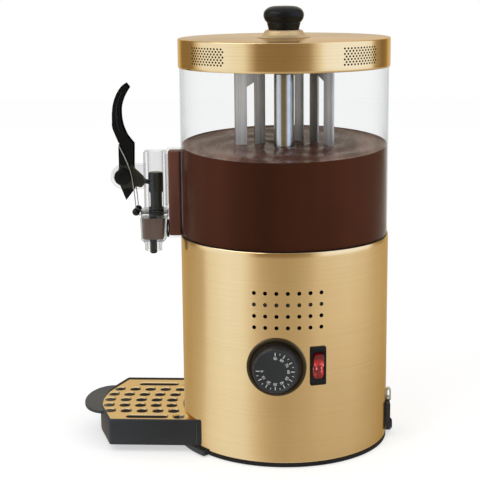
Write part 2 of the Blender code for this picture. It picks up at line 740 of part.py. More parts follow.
def thermostat(axis):
    """Thermostat body inside the shell and the dark ring round its dial."""
    half = THERMOSTAT_WIDTH / 2
    front = math.sqrt(SHELL_INNER ** 2 - half ** 2) - GAP
    turn = radial_turn(DIAL_ANGLE)
    place = (0, 0, DIAL_HEIGHT)
    body = box("thermostat_body", (-half, -half, front - THERMOSTAT_DEPTH), (half, half, front),
               "motor_grey", axis, THERMOSTAT_ROUND, place, turn)
    cut(body, cylinder("thermostat bore", DIAL_SHAFT_RADIUS + GAP,
                       SHELL_INNER - DIAL_SHAFT_REACH - GAP, BODY_RADIUS, None, axis, SMALL_STEPS,
                       place=place, turn=turn))
    ledge = BEZEL_RADIUS - BEZEL_LEDGE
    hole = DIAL_SHAFT_RADIUS + SLIDE_GAP
    back = math.sqrt(BODY_RADIUS ** 2 - BEZEL_RADIUS ** 2) - OVERRUN
    profile = [(hole, BEZEL_FRONT - BEZEL_STEP), (ledge, BEZEL_FRONT - BEZEL_STEP),
               (ledge + BEZEL_STEP, BEZEL_FRONT), (BEZEL_RADIUS - BEZEL_STEP, BEZEL_FRONT),
               (BEZEL_RADIUS, BEZEL_FRONT - BEZEL_STEP), (BEZEL_RADIUS, back), (hole, back)]
    ring = turned("dial_bezel", profile, "black_plastic", axis, RING_STEPS, place, turn)
    cut(ring, cylinder("bezel back", BODY_RADIUS + GAP, DIAL_HEIGHT - BEZEL_RADIUS - OVERRUN,
                       DIAL_HEIGHT + BEZEL_RADIUS + OVERRUN, None, axis, BODY_STEPS))


def thermostat_knob(axis):
    """Dial with its shaft, turning on an axis that points out of the body."""
    pivot = empty("thermostat_axis", axis,
                  (KNOB_BACK * math.sin(DIAL_ANGLE), -KNOB_BACK * math.cos(DIAL_ANGLE), DIAL_HEIGHT),
                  radial_turn(DIAL_ANGLE))
    shaft_end = SHELL_INNER - DIAL_SHAFT_REACH - KNOB_BACK
    hollow = KNOB_FACE_RADIUS - KNOB_ROUND - KNOB_HOLLOW
    profile = [(0, KNOB_DEPTH - KNOB_HOLLOW), (hollow, KNOB_DEPTH - KNOB_HOLLOW),
               (hollow + KNOB_HOLLOW, KNOB_DEPTH), (KNOB_FACE_RADIUS - KNOB_ROUND / 2, KNOB_DEPTH),
               (KNOB_FACE_RADIUS, KNOB_DEPTH - KNOB_ROUND), (KNOB_RADIUS, KNOB_ROUND),
               (KNOB_RADIUS - KNOB_ROUND / 2, 0), (DIAL_SHAFT_RADIUS, 0),
               (DIAL_SHAFT_RADIUS, shaft_end), (0, shaft_end)]
    turned("thermostat_knob", profile, "black_plastic", pivot, RING_STEPS)


def rocker_switch(axis):
    """Switch housing in the shell's cut-out and the red rocker on its own hinge."""
    turn = radial_turn(SWITCH_ANGLE)
    place = (0, 0, SWITCH_CENTRE)
    seat = BODY_RADIUS + GAP
    front = seat + SWITCH_BEZEL
    housing = box("rocker_switch_housing", (-SWITCH_WIDTH / 2, -SWITCH_HEIGHT / 2, seat),
                  (SWITCH_WIDTH / 2, SWITCH_HEIGHT / 2, front), "black_plastic", axis,
                  SWITCH_ROUND, place, turn)
    join(housing, box("switch barrel", (-SWITCH_BODY_WIDTH / 2, -SWITCH_BODY_HEIGHT / 2,
                                        seat - SWITCH_BODY_DEPTH),
                      (SWITCH_BODY_WIDTH / 2, SWITCH_BODY_HEIGHT / 2, seat + SWITCH_BEZEL / 2),
                      None, axis, place=place, turn=turn))
    half_width = ROCKER_WIDTH / 2 + GAP
    half_length = ROCKER_LENGTH / 2 + RUNNING_GAP
    cut(housing, box("rocker pocket", (-half_width, -half_length, front - ROCKER_POCKET),
                     (half_width, half_length, front + OVERRUN), None, axis, place=place, turn=turn))
    pivot = empty("rocker_axis", axis, (front * math.sin(SWITCH_ANGLE),
                                        -front * math.cos(SWITCH_ANGLE), SWITCH_CENTRE), turn)
    half = ROCKER_LENGTH / 2
    end_rise = half * math.tan(ROCKER_TILT)
    profile = [(-half, end_rise), (-half, -ROCKER_DEPTH), (half, -ROCKER_DEPTH), (half, end_rise),
               (0, 0)]
    profile = [(y * math.cos(ROCKER_TILT) - z * math.sin(ROCKER_TILT),
                y * math.sin(ROCKER_TILT) + z * math.cos(ROCKER_TILT)) for y, z in profile]
    outline("rocker_button", [profile], -ROCKER_WIDTH / 2, ROCKER_WIDTH / 2, "red_lens", pivot,
            turn=(math.radians(90), 0, math.radians(90)))


def rear_terminal(axis):
    """Terminal cover low on the rear, with the cable gland and the clip above it."""
    face = BODY_RADIUS + COVER_PROUD
    cover = box("rear_terminal_cover", (BODY_RADIUS - COVER_PROUD, -COVER_HALF_WIDTH, COVER_BOTTOM),
                (face, COVER_HALF_WIDTH, COVER_TOP), "black_plastic", axis, COVER_ROUND)
    cut(cover, cylinder("cover back", BODY_RADIUS + GAP, COVER_BOTTOM - OVERRUN, COVER_TOP + OVERRUN,
                        None, axis, BODY_STEPS))
    nut_end = face + GAP + GLAND_NUT_LENGTH
    nose_end = face + GLAND_NUT_LENGTH + GLAND_LENGTH
    start = face + GAP
    profile = [(GLAND_BORE, nose_end), (GLAND_RADIUS, nose_end), (GLAND_RADIUS, nut_end),
               (GLAND_NUT_RADIUS, nut_end), (GLAND_NUT_RADIUS, start), (GLAND_BORE, start)]
    turned("cable_gland", profile, "black_plastic", axis, SMALL_STEPS, (0, 0, GLAND_HEIGHT),
           (0, math.radians(90), 0))
    bottom = COVER_TOP + GAP
    top = bottom + CLIP_HEIGHT
    back = BODY_RADIUS + GAP
    radius = (CLIP_PROUD - GAP) / 2
    centre = (back + radius, top - radius)
    outer = [(back, bottom), (back + 2 * radius, bottom)]
    outer += circle(radius, ARC_STEPS, centre, 0, math.pi, True)
    inner = inset(outer, CLIP_THICKNESS)
    outline("cable_clip", [outer, inner], -CLIP_HALF_WIDTH, CLIP_HALF_WIDTH, "steel", axis,
            turn=(math.radians(90), 0, 0))


def heating_base(axis):
    """Steel basin that closes the shell, with the heater ring glued below it."""
    flange = SHELL_INNER - GAP
    outer = BASIN_RADIUS + BASIN_WALL
    profile = [(BASIN_RADIUS, BASIN_TOP), (flange, BASIN_TOP), (flange, BASIN_TOP - BASIN_WALL),
               (outer, BASIN_TOP - BASIN_WALL), (outer, BASIN_UNDERSIDE),
               (BASIN_HOLE, BASIN_UNDERSIDE), (BASIN_HOLE, BASIN_FLOOR), (BASIN_RADIUS, BASIN_FLOOR)]
    turned("heating_basin", profile, "steel", axis, BODY_STEPS)
    top = BASIN_UNDERSIDE - GAP
    bottom = top - HEATER_THICKNESS
    profile = [(HEATER_OUTER, top), (HEATER_OUTER, bottom), (HEATER_INNER, bottom),
               (HEATER_INNER, top)]
    turned("heater_ring", profile, "heater", axis, RING_STEPS)


def drive_unit(axis):
    """Carrier plate, gear motor, shaft bush and the turning shaft."""
    plate = SHELL_INNER - GAP
    profile = [(plate, PLATE_TOP), (plate, PLATE_BOTTOM), (BRACKET_PLATE_HOLE, PLATE_BOTTOM),
               (BRACKET_PLATE_HOLE, PLATE_TOP)]
    turned("motor_bracket", profile, "steel", axis, BODY_STEPS)
    gearbox_bottom = GEARBOX_TOP - GEARBOX_HEIGHT
    motor = box("gear_motor", (-GEARBOX_LENGTH / 2, -GEARBOX_WIDTH / 2, gearbox_bottom),
                (GEARBOX_LENGTH / 2, GEARBOX_WIDTH / 2, GEARBOX_TOP), "motor_grey", axis,
                GEARBOX_ROUND)
    join(motor, cylinder("motor can", MOTOR_RADIUS, gearbox_bottom - MOTOR_HEIGHT,
                         gearbox_bottom + OVERRUN, None, axis, RING_STEPS))
    flange_top = BASIN_UNDERSIDE - GAP
    flange_bottom = flange_top - BUSH_FLANGE_THICKNESS
    bush_top = BASIN_UNDERSIDE + BUSH_HEIGHT
    bore = SHAFT_RADIUS + GAP
    profile = [(bore, bush_top), (BUSH_RADIUS, bush_top), (BUSH_RADIUS, flange_top),
               (BUSH_FLANGE, flange_top), (BUSH_FLANGE, flange_bottom), (bore, flange_bottom)]
    turned("shaft_bush", profile, "grey_plastic", axis, SMALL_STEPS)
    pivot = empty("drive_axis", axis)
    shaft = cylinder("drive_shaft", SHAFT_RADIUS, GEARBOX_TOP + GAP, HUB_BOTTOM - GAP, "steel", pivot,
                     SMALL_STEPS)
    join(shaft, cylinder("shaft key", SHAFT_RADIUS, HUB_BOTTOM - OVERRUN, SHAFT_TOP, None, pivot,
                         HEX_STEPS))


def tank(frame):
    """Clear tank wall with its outlet box, the steel pan, the seals and the column."""
    profile = [(TANK_RADIUS, TANK_TOP), (TANK_RADIUS, TANK_BOTTOM), (0, TANK_BOTTOM)]
    profile = [(0, TANK_TOP)] + profile
    wall = turned("tank_wall", profile, "clear", frame, BODY_STEPS)
    join(wall, box("outlet box", (-OUTLET_REACH, -OUTLET_HALF_WIDTH, OUTLET_BOTTOM),
                   (-TANK_INNER + TANK_WALL, OUTLET_HALF_WIDTH, OUTLET_TOP), None, frame,
                   OUTLET_ROUND))
    turn = (0, math.radians(90), 0)
    place = (0, 0, SPIGOT_HEIGHT)
    join(wall, cylinder("outlet spigot", SPIGOT_RADIUS, -OUTLET_REACH - SPIGOT_LENGTH,
                        -OUTLET_REACH + OUTLET_WALL, None, frame, SMALL_STEPS, place=place, turn=turn))
    cut(wall, cylinder("tank inside", TANK_INNER, OUTLET_BOTTOM - OVERRUN, TANK_TOP + OVERRUN, None,
                       frame, BODY_STEPS))
    inside = OUTLET_HALF_WIDTH - OUTLET_WALL
    ledge = TANK_BOTTOM + OUTLET_WALL
    well = box("outlet inside", (-OUTLET_REACH + OUTLET_WALL, -inside, ledge),
               (-TANK_INNER + 2 * TANK_WALL, inside, OUTLET_TOP - OUTLET_WALL), None, frame)
    cut(wall, join(well, box("outlet well", (-OUTLET_REACH + OUTLET_WALL, -inside,
                                             OUTLET_BOTTOM + OUTLET_WALL),
                             (-BODY_RADIUS - GAP - OUTLET_WALL, inside, ledge + OVERRUN), None, frame)))
    cut(wall, cylinder("spigot bore", SPIGOT_BORE, -OUTLET_REACH - SPIGOT_LENGTH - OVERRUN,
                       -OUTLET_REACH + OUTLET_WALL + OVERRUN, None, frame, SMALL_STEPS, place=place,
                       turn=turn))
    cut(wall, cylinder("shell clearance", BODY_RADIUS + GAP, OUTLET_BOTTOM - OVERRUN, SEAL_TOP + GAP,
                       None, frame, BODY_STEPS))
    profile = [(TANK_RADIUS, SEAL_TOP), (TANK_RADIUS, SEAL_BOTTOM), (SEAL_INNER, SEAL_BOTTOM),
               (SEAL_INNER, SEAL_TOP)]
    turned("tank_seal", profile, "rubber", frame, BODY_STEPS)
    rim = TANK_INNER - GAP
    rim_top = TANK_BOTTOM + PAN_WALL
    hole = COLUMN_RADIUS + GAP
    profile = [(rim, rim_top), (rim, TANK_BOTTOM), (PAN_RADIUS, TANK_BOTTOM),
               (PAN_RADIUS, PAN_UNDERSIDE), (hole, PAN_UNDERSIDE), (hole, PAN_FLOOR),
               (PAN_RADIUS - PAN_WALL, PAN_FLOOR), (PAN_RADIUS - PAN_WALL, rim_top)]
    turned("tank_pan", profile, "steel", frame, BODY_STEPS)
    bore = COLUMN_RADIUS - COLUMN_WALL
    flange_bottom = PAN_FLOOR + GAP
    flange_top = flange_bottom + COLUMN_FLANGE_THICKNESS
    profile = [(COLUMN_RADIUS, COLUMN_TOP), (COLUMN_RADIUS, flange_top), (COLUMN_FLANGE, flange_top),
               (COLUMN_FLANGE, flange_bottom), (COLUMN_RADIUS, flange_bottom),
               (COLUMN_RADIUS, PAN_UNDERSIDE), (bore, PAN_UNDERSIDE), (bore, COLUMN_TOP)]
    turned("centre_column", profile, "steel", frame, RING_STEPS)
    bush_bottom = COLUMN_TOP + GAP
    bush_top = bush_bottom + COLUMN_BUSH_FLANGE
    bush_end = COLUMN_TOP - COLUMN_BUSH_DEPTH
    shaft_bore = SHAFT_RADIUS + GAP
    profile = [(COLUMN_RADIUS, bush_top), (COLUMN_RADIUS, bush_bottom), (bore - GAP, bush_bottom),
               (bore - GAP, bush_end), (shaft_bore, bush_end), (shaft_bore, bush_top)]
    turned("column_bush", profile, "grey_plastic", frame, SMALL_STEPS)
    ring_start = OUTLET_REACH + GAP
    ring_inner = SPIGOT_RADIUS + GAP
    ring_outer = ring_inner + SPOUT_RING_WIDTH
    profile = [(ring_outer, ring_start + SPOUT_RING_LENGTH), (ring_outer, ring_start),
               (ring_inner, ring_start), (ring_inner, ring_start + SPOUT_RING_LENGTH)]
    turned("spout_ring", profile, "rubber", frame, SMALL_STEPS, (0, 0, SPIGOT_HEIGHT),
           (0, math.radians(-90), 0))


def gate_points(side):
    """Outline of one stirring gate and of its window, from its outer edge inwards."""
    half = GATE_WIDTH / 2
    outer_drop, inner_drop = GATE_WINDOW_DROPS[side]
    outer_top = GATE_TOP - outer_drop
    inner_top = GATE_TOP - inner_drop
    left = -half + GATE_OUTER_BAR
    right = half - GATE_INNER_BAR
    window_bottom = GATE_BOTTOM + GATE_FOOT
    frame = [(-half, GATE_BOTTOM), (half, GATE_BOTTOM), (half, GATE_TOP), (-half, GATE_TOP)]
    window = [(left, window_bottom), (right, window_bottom), (right, inner_top), (left, outer_top)]
    return [frame, window]


def mixer(pivot):
    """Hub on the column's bush, three arms and three hanging gates."""
    profile = [(0, HUB_TOP), (HUB_RADIUS - HUB_ROUND, HUB_TOP), (HUB_RADIUS, HUB_TOP - HUB_ROUND),
               (HUB_RADIUS, HUB_BOTTOM), (0, HUB_BOTTOM)]
    hub = turned("mixer_hub", profile, "grey_plastic", pivot, RING_STEPS)
    arm_top = HUB_BOTTOM + ARM_HEIGHT
    for side in GATE_SIDE:
        x, y = GATE_CENTRES[side]
        reach = math.hypot(x, y)
        join(hub, box("arm " + side, (0, -ARM_WIDTH / 2, HUB_BOTTOM), (reach, ARM_WIDTH / 2, arm_top),
                      None, pivot, turn=(0, 0, math.atan2(y, x))))
        half = GATE_WIDTH / 2
        join(hub, box("yoke " + side, (-half, -ARM_WIDTH / 4, HUB_BOTTOM),
                      (half, ARM_WIDTH / 4, arm_top - HUB_ROUND), None, pivot, place=(x, y, 0),
                      turn=(0, 0, GATE_TURNS[side])))
    cut(hub, cylinder("hub socket", HUB_SOCKET, HUB_BOTTOM - OVERRUN, HUB_BOTTOM + HUB_SOCKET_DEPTH,
                      None, pivot, HEX_STEPS))
    for side in GATE_SIDE:
        x, y = GATE_CENTRES[side]
        outline("mixer_gate_" + side, gate_points(side), -GATE_THICKNESS / 2, GATE_THICKNESS / 2,
                "grey_plastic", pivot, (x, y, 0), (math.radians(90), 0, GATE_TURNS[side]))


def drink(frame, pivot):
    """The drink in the tank, in the outlet box and in the tap chamber."""
    outer = TANK_INNER - GAP
    pan = PAN_RADIUS - PAN_WALL - GAP
    ledge = TANK_BOTTOM + PAN_WALL + GAP
    floor = PAN_FLOOR + COLUMN_FLANGE_THICKNESS + 2 * GAP
    hole = COLUMN_RADIUS + GAP
    profile = [(outer, DRINK_LEVEL), (outer, ledge), (pan, ledge), (pan, floor), (hole, floor),
               (hole, DRINK_LEVEL)]
    fill = turned("chocolate_fill", profile, "chocolate", pivot, BODY_STEPS)
    half = GATE_WIDTH / 2 + GAP
    depth = GATE_THICKNESS / 2 + GAP
    for side in GATE_SIDE:
        x, y = GATE_CENTRES[side]
        cut(fill, box("gate slot " + side, (-half, -depth, GATE_BOTTOM - GAP),
                      (half, depth, DRINK_LEVEL + OVERRUN), None, pivot, place=(x, y, 0),
                      turn=(0, 0, GATE_TURNS[side])))
    left = -OUTLET_REACH + OUTLET_WALL + GAP
    right = -BODY_RADIUS - GAP - OUTLET_WALL - GAP
    inside = OUTLET_HALF_WIDTH - OUTLET_WALL - GAP
    bottom = OUTLET_BOTTOM + OUTLET_WALL + GAP
    ledge = TANK_BOTTOM + OUTLET_WALL + GAP
    fill = box("chocolate_in_outlet", (left, -inside, bottom),
               (right, inside, OUTLET_TOP - OUTLET_WALL - GAP), "chocolate", frame)
    join(fill, box("outlet throat", (right - OVERRUN, -inside, ledge),
                   (-TANK_INNER - GAP, inside, OUTLET_TOP - OUTLET_WALL - GAP), None, frame))
    inset_left = CHAMBER_BOTTOM_LEFT - CHAMBER_WALL - GAP
    spigot_end = OUTLET_REACH + SPIGOT_LENGTH + GAP
    inside = CHAMBER_HALF_WIDTH - CHAMBER_WALL - GAP
    fill = box("chocolate_in_tap", (-inset_left, -inside, CHAMBER_BOTTOM + CHAMBER_WALL + GAP),
               (-spigot_end, inside, CHAMBER_TOP), "chocolate", frame)
    cut(fill, cylinder("stem hole", STEM_RADIUS + RUNNING_GAP, CHAMBER_BOTTOM - OVERRUN,
                       CHAMBER_TOP + OVERRUN, None, frame, SMALL_STEPS, (-STEM_X, 0)))


def tapered_box(name, top_box, bottom_box, low, high, finish, parent):
    """A block whose bottom has its own sides: each box is left, right and half width."""
    bm = bmesh.new()
    bmesh.ops.create_cube(bm, size=1)
    for vert in bm.verts:
        left, right, half = top_box if vert.co.z > 0 else bottom_box
        vert.co = (-left if vert.co.x < 0 else -right, -half if vert.co.y < 0 else half,
                   low if vert.co.z < 0 else high)
    return add(name, mesh_from(bm, name), finish, parent)


def tap_chamber(frame):
    """Clear cup of the tap with the spigot's bore and the outlet hole."""
    top = (CHAMBER_LEFT, CHAMBER_RIGHT, CHAMBER_HALF_WIDTH)
    bottom = (CHAMBER_BOTTOM_LEFT, CHAMBER_BOTTOM_RIGHT, CHAMBER_HALF_WIDTH)
    cup = tapered_box("tap_chamber", top, bottom, CHAMBER_BOTTOM, CHAMBER_TOP, "clear", frame)
    bevel(cup, CHAMBER_ROUND)
    top = (CHAMBER_LEFT - CHAMBER_WALL, CHAMBER_RIGHT + CHAMBER_WALL, CHAMBER_HALF_WIDTH - CHAMBER_WALL)
    bottom = (CHAMBER_BOTTOM_LEFT - CHAMBER_WALL, CHAMBER_BOTTOM_RIGHT + CHAMBER_WALL,
              CHAMBER_HALF_WIDTH - CHAMBER_WALL)
    cut(cup, tapered_box("chamber inside", top, bottom, CHAMBER_BOTTOM + CHAMBER_WALL,
                         CHAMBER_TOP + OVERRUN, None, frame))
    cut(cup, cylinder("chamber inlet", SPIGOT_RADIUS + GAP, -CHAMBER_RIGHT - 2 * SPIGOT_LENGTH,
                      -CHAMBER_RIGHT + OVERRUN, None, frame, SMALL_STEPS,
                      place=(0, 0, SPIGOT_HEIGHT), turn=(0, math.radians(90), 0)))
    cut(cup, cylinder("chamber outlet", STEM_RADIUS + GAP, CHAMBER_BOTTOM - OVERRUN,
                      CHAMBER_BOTTOM + CHAMBER_WALL + OVERRUN, None, frame, SMALL_STEPS, (-STEM_X, 0)))
    top = CHAMBER_BOTTOM - GAP
    inner = NOZZLE_RADIUS - NOZZLE_WALL
    flange_bottom = top - NOZZLE_FLANGE_THICKNESS
    profile = [(inner, top), (NOZZLE_FLANGE, top), (NOZZLE_FLANGE, flange_bottom),
               (NOZZLE_RADIUS, flange_bottom), (NOZZLE_RADIUS, top - NOZZLE_HEIGHT),
               (inner, top - NOZZLE_HEIGHT)]
    turned("tap_nozzle", profile, "clear", frame, SMALL_STEPS, (-STEM_X, 0, 0))


def tap_collar(frame):
    """Clear collar between chamber and guide, with the lug for the spring's anchor."""
    collar = box("tap_collar", (-COLLAR_LEFT, -COLLAR_HALF_WIDTH, COLLAR_BOTTOM),
                 (-COLLAR_RIGHT, COLLAR_HALF_WIDTH, COLLAR_TOP), "clear", frame, COLLAR_ROUND)
    lug_left = COLLAR_LEFT + COLLAR_LUG_LENGTH
    join(collar, box("collar lug", (-lug_left, -COLLAR_LUG_HALF_WIDTH, COLLAR_BOTTOM + OVERRUN),
                     (-COLLAR_LEFT + OVERRUN, COLLAR_LUG_HALF_WIDTH, COLLAR_TOP), None, frame))
    cut(collar, cylinder("collar bore", GUIDE_BORE, COLLAR_BOTTOM - OVERRUN, COLLAR_TOP + OVERRUN,
                         None, frame, SMALL_STEPS, (-PLUNGER_X, 0)))
    cut(collar, cylinder("anchor hole", ANCHOR_PIN_RADIUS + GAP, -COLLAR_HALF_WIDTH, COLLAR_HALF_WIDTH,
                         None, frame, HOLE_STEPS, place=(-ANCHOR_X, 0, ANCHOR_Z),
                         turn=(math.radians(90), 0, 0)))
    ball = circle(ANCHOR_BALL_RADIUS, ARC_STEPS, (0, WIRE_HALF_SPAN), math.radians(90),
                  math.radians(-150), True)
    ball = [(abs(r), z) for r, z in ball]
    ball[0] = (0, WIRE_HALF_SPAN + ANCHOR_BALL_RADIUS)
    neck = WIRE_HALF_SPAN - math.sqrt(ANCHOR_BALL_RADIUS ** 2 - ANCHOR_PIN_RADIUS ** 2)
    ball = ball[:-1] + [(ANCHOR_PIN_RADIUS, neck)]
    profile = ball + [(r, -z) for r, z in reversed(ball)]
    turned("spring_anchor", profile, "black_gloss", frame, HOLE_STEPS, (-ANCHOR_X, 0, ANCHOR_Z),
           (math.radians(90), 0, 0))


def tap_guide(frame):
    """Clear guide block with the plunger's bore, the arm's window and the pivot lugs."""
    guide = box("tap_guide", (-GUIDE_LEFT, -GUIDE_HALF_WIDTH, GUIDE_BOTTOM),
                (-GUIDE_RIGHT, GUIDE_HALF_WIDTH, GUIDE_TOP), "clear", frame, GUIDE_ROUND)
    join(guide, box("guide web", (-GUIDE_RIGHT - OVERRUN, -GUIDE_WEB_HALF_WIDTH, GUIDE_WEB_BOTTOM),
                    (-OUTLET_REACH - GAP, GUIDE_WEB_HALF_WIDTH, GUIDE_WEB_TOP), None, frame))
    stem = PIVOT_X - GUIDE_LEFT + OVERRUN / 2
    points = circle(LUG_RADIUS, 2 * ARC_STEPS, (0, 0), math.radians(90), math.pi, True)
    points += [(stem, -LUG_RADIUS), (stem, LUG_RADIUS)]
    for name, low in (("near lug", LUG_INSIDE), ("far lug", -LUG_INSIDE - LUG_THICKNESS)):
        join(guide, outline(name, [points], low, low + LUG_THICKNESS, None, frame,
                            (-PIVOT_X, 0, PIVOT_Z), (math.radians(90), 0, 0)))
    cut(guide, cylinder("guide bore", GUIDE_BORE, GUIDE_BOTTOM - OVERRUN, GUIDE_TOP + OVERRUN, None,
                        frame, SMALL_STEPS, (-PLUNGER_X, 0)))
    cut(guide, box("arm window", (-GUIDE_LEFT - OVERRUN, -GUIDE_WINDOW_HALF_WIDTH, GUIDE_WINDOW_BOTTOM),
                   (-PLUNGER_X, GUIDE_WINDOW_HALF_WIDTH, GUIDE_WINDOW_TOP), None, frame))
    reach = LUG_INSIDE + LUG_THICKNESS
    cut(guide, cylinder("pin holes", PIN_RADIUS + GAP, -reach - OVERRUN, reach + OVERRUN, None, frame,
                        HOLE_STEPS, place=(-PIVOT_X, 0, PIVOT_Z), turn=(math.radians(90), 0, 0)))
    cylinder("pivot_pin", PIN_RADIUS, -reach, reach, "steel", frame, HOLE_STEPS,
             place=(-PIVOT_X, 0, PIVOT_Z), turn=(math.radians(90), 0, 0))
    start = reach + GAP
    end = start + CAP_THICKNESS
    profile = [(0, end), (CAP_RADIUS - CAP_ROUND, end), (CAP_RADIUS, end - CAP_ROUND),
               (CAP_RADIUS, start), (0, start)]
    turned("pivot_cap_near", profile, "black_gloss", frame, RING_STEPS, (-PIVOT_X, 0, PIVOT_Z),
           (math.radians(90), 0, 0))
    turned("pivot_cap_far", profile, "black_gloss", frame, RING_STEPS, (-PIVOT_X, 0, PIVOT_Z),
           (math.radians(-90), 0, 0))


def plunger(frame):
    """Black plunger: slotted head, waist, piston and the offset stem that shuts the nozzle."""
    pivot = empty("plunger_axis", frame, (-PLUNGER_X, 0, 0))
    head_bottom = PLUNGER_TOP - HEAD_HEIGHT
    piston_bottom = COLLAR_BOTTOM + PISTON_LIFT
    piston_top = piston_bottom + PISTON_HEIGHT
    profile = [(0, PLUNGER_TOP), (HEAD_RADIUS - HEAD_ROUND, PLUNGER_TOP),
               (HEAD_RADIUS, PLUNGER_TOP - HEAD_ROUND), (HEAD_RADIUS, head_bottom),
               (WAIST_RADIUS, head_bottom - NECK_RISE), (WAIST_RADIUS, piston_top),
               (PISTON_RADIUS, piston_top), (PISTON_RADIUS, piston_bottom), (0, piston_bottom)]
    body = turned("plunger", profile, "black_gloss", pivot, SMALL_STEPS)
    stem = [(0, piston_bottom + OVERRUN), (STEM_RADIUS, piston_bottom + OVERRUN),
            (STEM_RADIUS, STEM_BOTTOM + STEM_ROUND), (STEM_RADIUS - STEM_ROUND, STEM_BOTTOM),
            (0, STEM_BOTTOM)]
    join(body, turned("plunger stem", stem, None, pivot, SMALL_STEPS, (-STEM_OFFSET, 0, 0)))
    for name, near, far in (("front flat", -2 * STEM_RADIUS, -STEM_FLAT),
                            ("rear flat", STEM_FLAT, 2 * STEM_RADIUS)):
        cut(body, box(name, (-STEM_OFFSET - 2 * STEM_RADIUS, near, STEM_BOTTOM - OVERRUN),
                      (-STEM_OFFSET + 2 * STEM_RADIUS, far, CHAMBER_BOTTOM - STEM_SEAT_LAP), None,
                      pivot))
    cut(body, box("nose slot", (-2 * HEAD_RADIUS, -SLOT_HALF_WIDTH, NOSE_Z - SLOT_HALF_HEIGHT),
                  (SLOT_REACH, SLOT_HALF_WIDTH, NOSE_Z + SLOT_HALF_HEIGHT), None, pivot))
    bottom = piston_top + GAP
    inner = WAIST_RADIUS + GAP
    outer = inner + PLUNGER_SEAL_WIDTH
    profile = [(outer, bottom + PLUNGER_SEAL_HEIGHT), (outer, bottom), (inner, bottom),
               (inner, bottom + PLUNGER_SEAL_HEIGHT)]
    turned("plunger_seal", profile, "rubber", pivot, SMALL_STEPS)


def lever(frame):
    """Horn-shaped lever: grip, block, tail and the thin arm whose nose lifts the plunger."""
    pivot = empty("lever_pivot", frame, (-PIVOT_X, 0, PIVOT_Z))
    outer = smooth_path(scaled(HORN_OUTER_SHARES, LEVER_HEIGHT))
    inner = smooth_path(scaled(HORN_INNER_SHARES, LEVER_HEIGHT))
    block = scaled(BLOCK_SHARES, LEVER_HEIGHT)
    tail = scaled(TAIL_SHARES, LEVER_HEIGHT)
    notch = scaled(NOTCH_SHARES, LEVER_HEIGHT)
    start = math.atan2(tail[-1][1], tail[-1][0])
    rim = circle(LEVER_HUB_RADIUS, ARC_STEPS, (0, 0), start, math.radians(-60), True)
    points = inner + block[:1] + [(LEVER_ROOT, 0)] + tail[:2] + rim
    points += [(notch[0][0], LEVER_HUB_RADIUS)] + notch + outer
    turn = (math.radians(90), 0, 0)
    half = LEVER_THICKNESS / 2
    body = outline("tap_lever", [points], -half, half, "black_gloss", pivot, turn=turn)
    bevel(body, LEVER_ROUND, 1)
    top = scaled(ARM_TOP_SHARES, LEVER_HEIGHT)
    bottom = scaled(ARM_BOTTOM_SHARES, LEVER_HEIGHT)
    slope = math.atan2(-NOSE_DROP, NOSE_X)
    spread = math.radians(180) - math.asin(NOSE_NECK / NOSE_RADIUS)
    nose = circle(NOSE_RADIUS, 2 * ARC_STEPS, (NOSE_X, -NOSE_DROP), slope + spread, -2 * spread, True)
    join(body, outline("lever arm", [top + nose + bottom], -ARM_HALF_THICKNESS, ARM_HALF_THICKNESS,
                       None, pivot, turn=turn))
    cut(body, cylinder("lever bore", PIN_RADIUS + GAP, -LEVER_THICKNESS, LEVER_THICKNESS, None, pivot,
                       HOLE_STEPS, turn=turn))


def return_spring(frame):
    """Bent wire from one anchor ball over the lever's notch to the other ball."""
    knee = (CAP_RADIUS + WIRE_KNEE_BEYOND_CAP[0], CAP_RADIUS + WIRE_KNEE_BEYOND_CAP[1])
    hip = (CAP_RADIUS + WIRE_HIP_BEYOND_CAP[0], -CAP_RADIUS - WIRE_HIP_BEYOND_CAP[1])
    top = scaled([WIRE_TOP_SHARES], LEVER_HEIGHT)[0]
    bend = [Vector((x - PIVOT_X, 0, z + PIVOT_Z)) for x, z in (top, knee, hip)]
    reach = ANCHOR_BALL_RADIUS + GAP + WIRE_RADIUS / 2
    foot = Vector((-ANCHOR_X, 0, ANCHOR_Z + reach))
    side = [foot, bend[2], bend[1], bend[0]]
    path = [Vector(p) for p in smooth_path([tuple(v) for v in side], 5)]
    corner = 4 * WIRE_RADIUS
    near = [(p.x, -WIRE_HALF_SPAN, p.z) for p in path]
    far = [(p.x, WIRE_HALF_SPAN, p.z) for p in reversed(path)]
    last = near[-1]
    near[-1] = (last[0] + corner / 2, -WIRE_HALF_SPAN, last[2] - corner)
    far[0] = (last[0] + corner / 2, WIRE_HALF_SPAN, last[2] - corner)
    over = [(last[0], -WIRE_HALF_SPAN + corner / 3, last[2] - corner / 4),
            (last[0], -WIRE_HALF_SPAN + corner, last[2]),
            (last[0], WIRE_HALF_SPAN - corner, last[2]),
            (last[0], WIRE_HALF_SPAN - corner / 3, last[2] - corner / 4)]
    wire("return_spring", near + over + far, WIRE_RADIUS, "steel", frame)


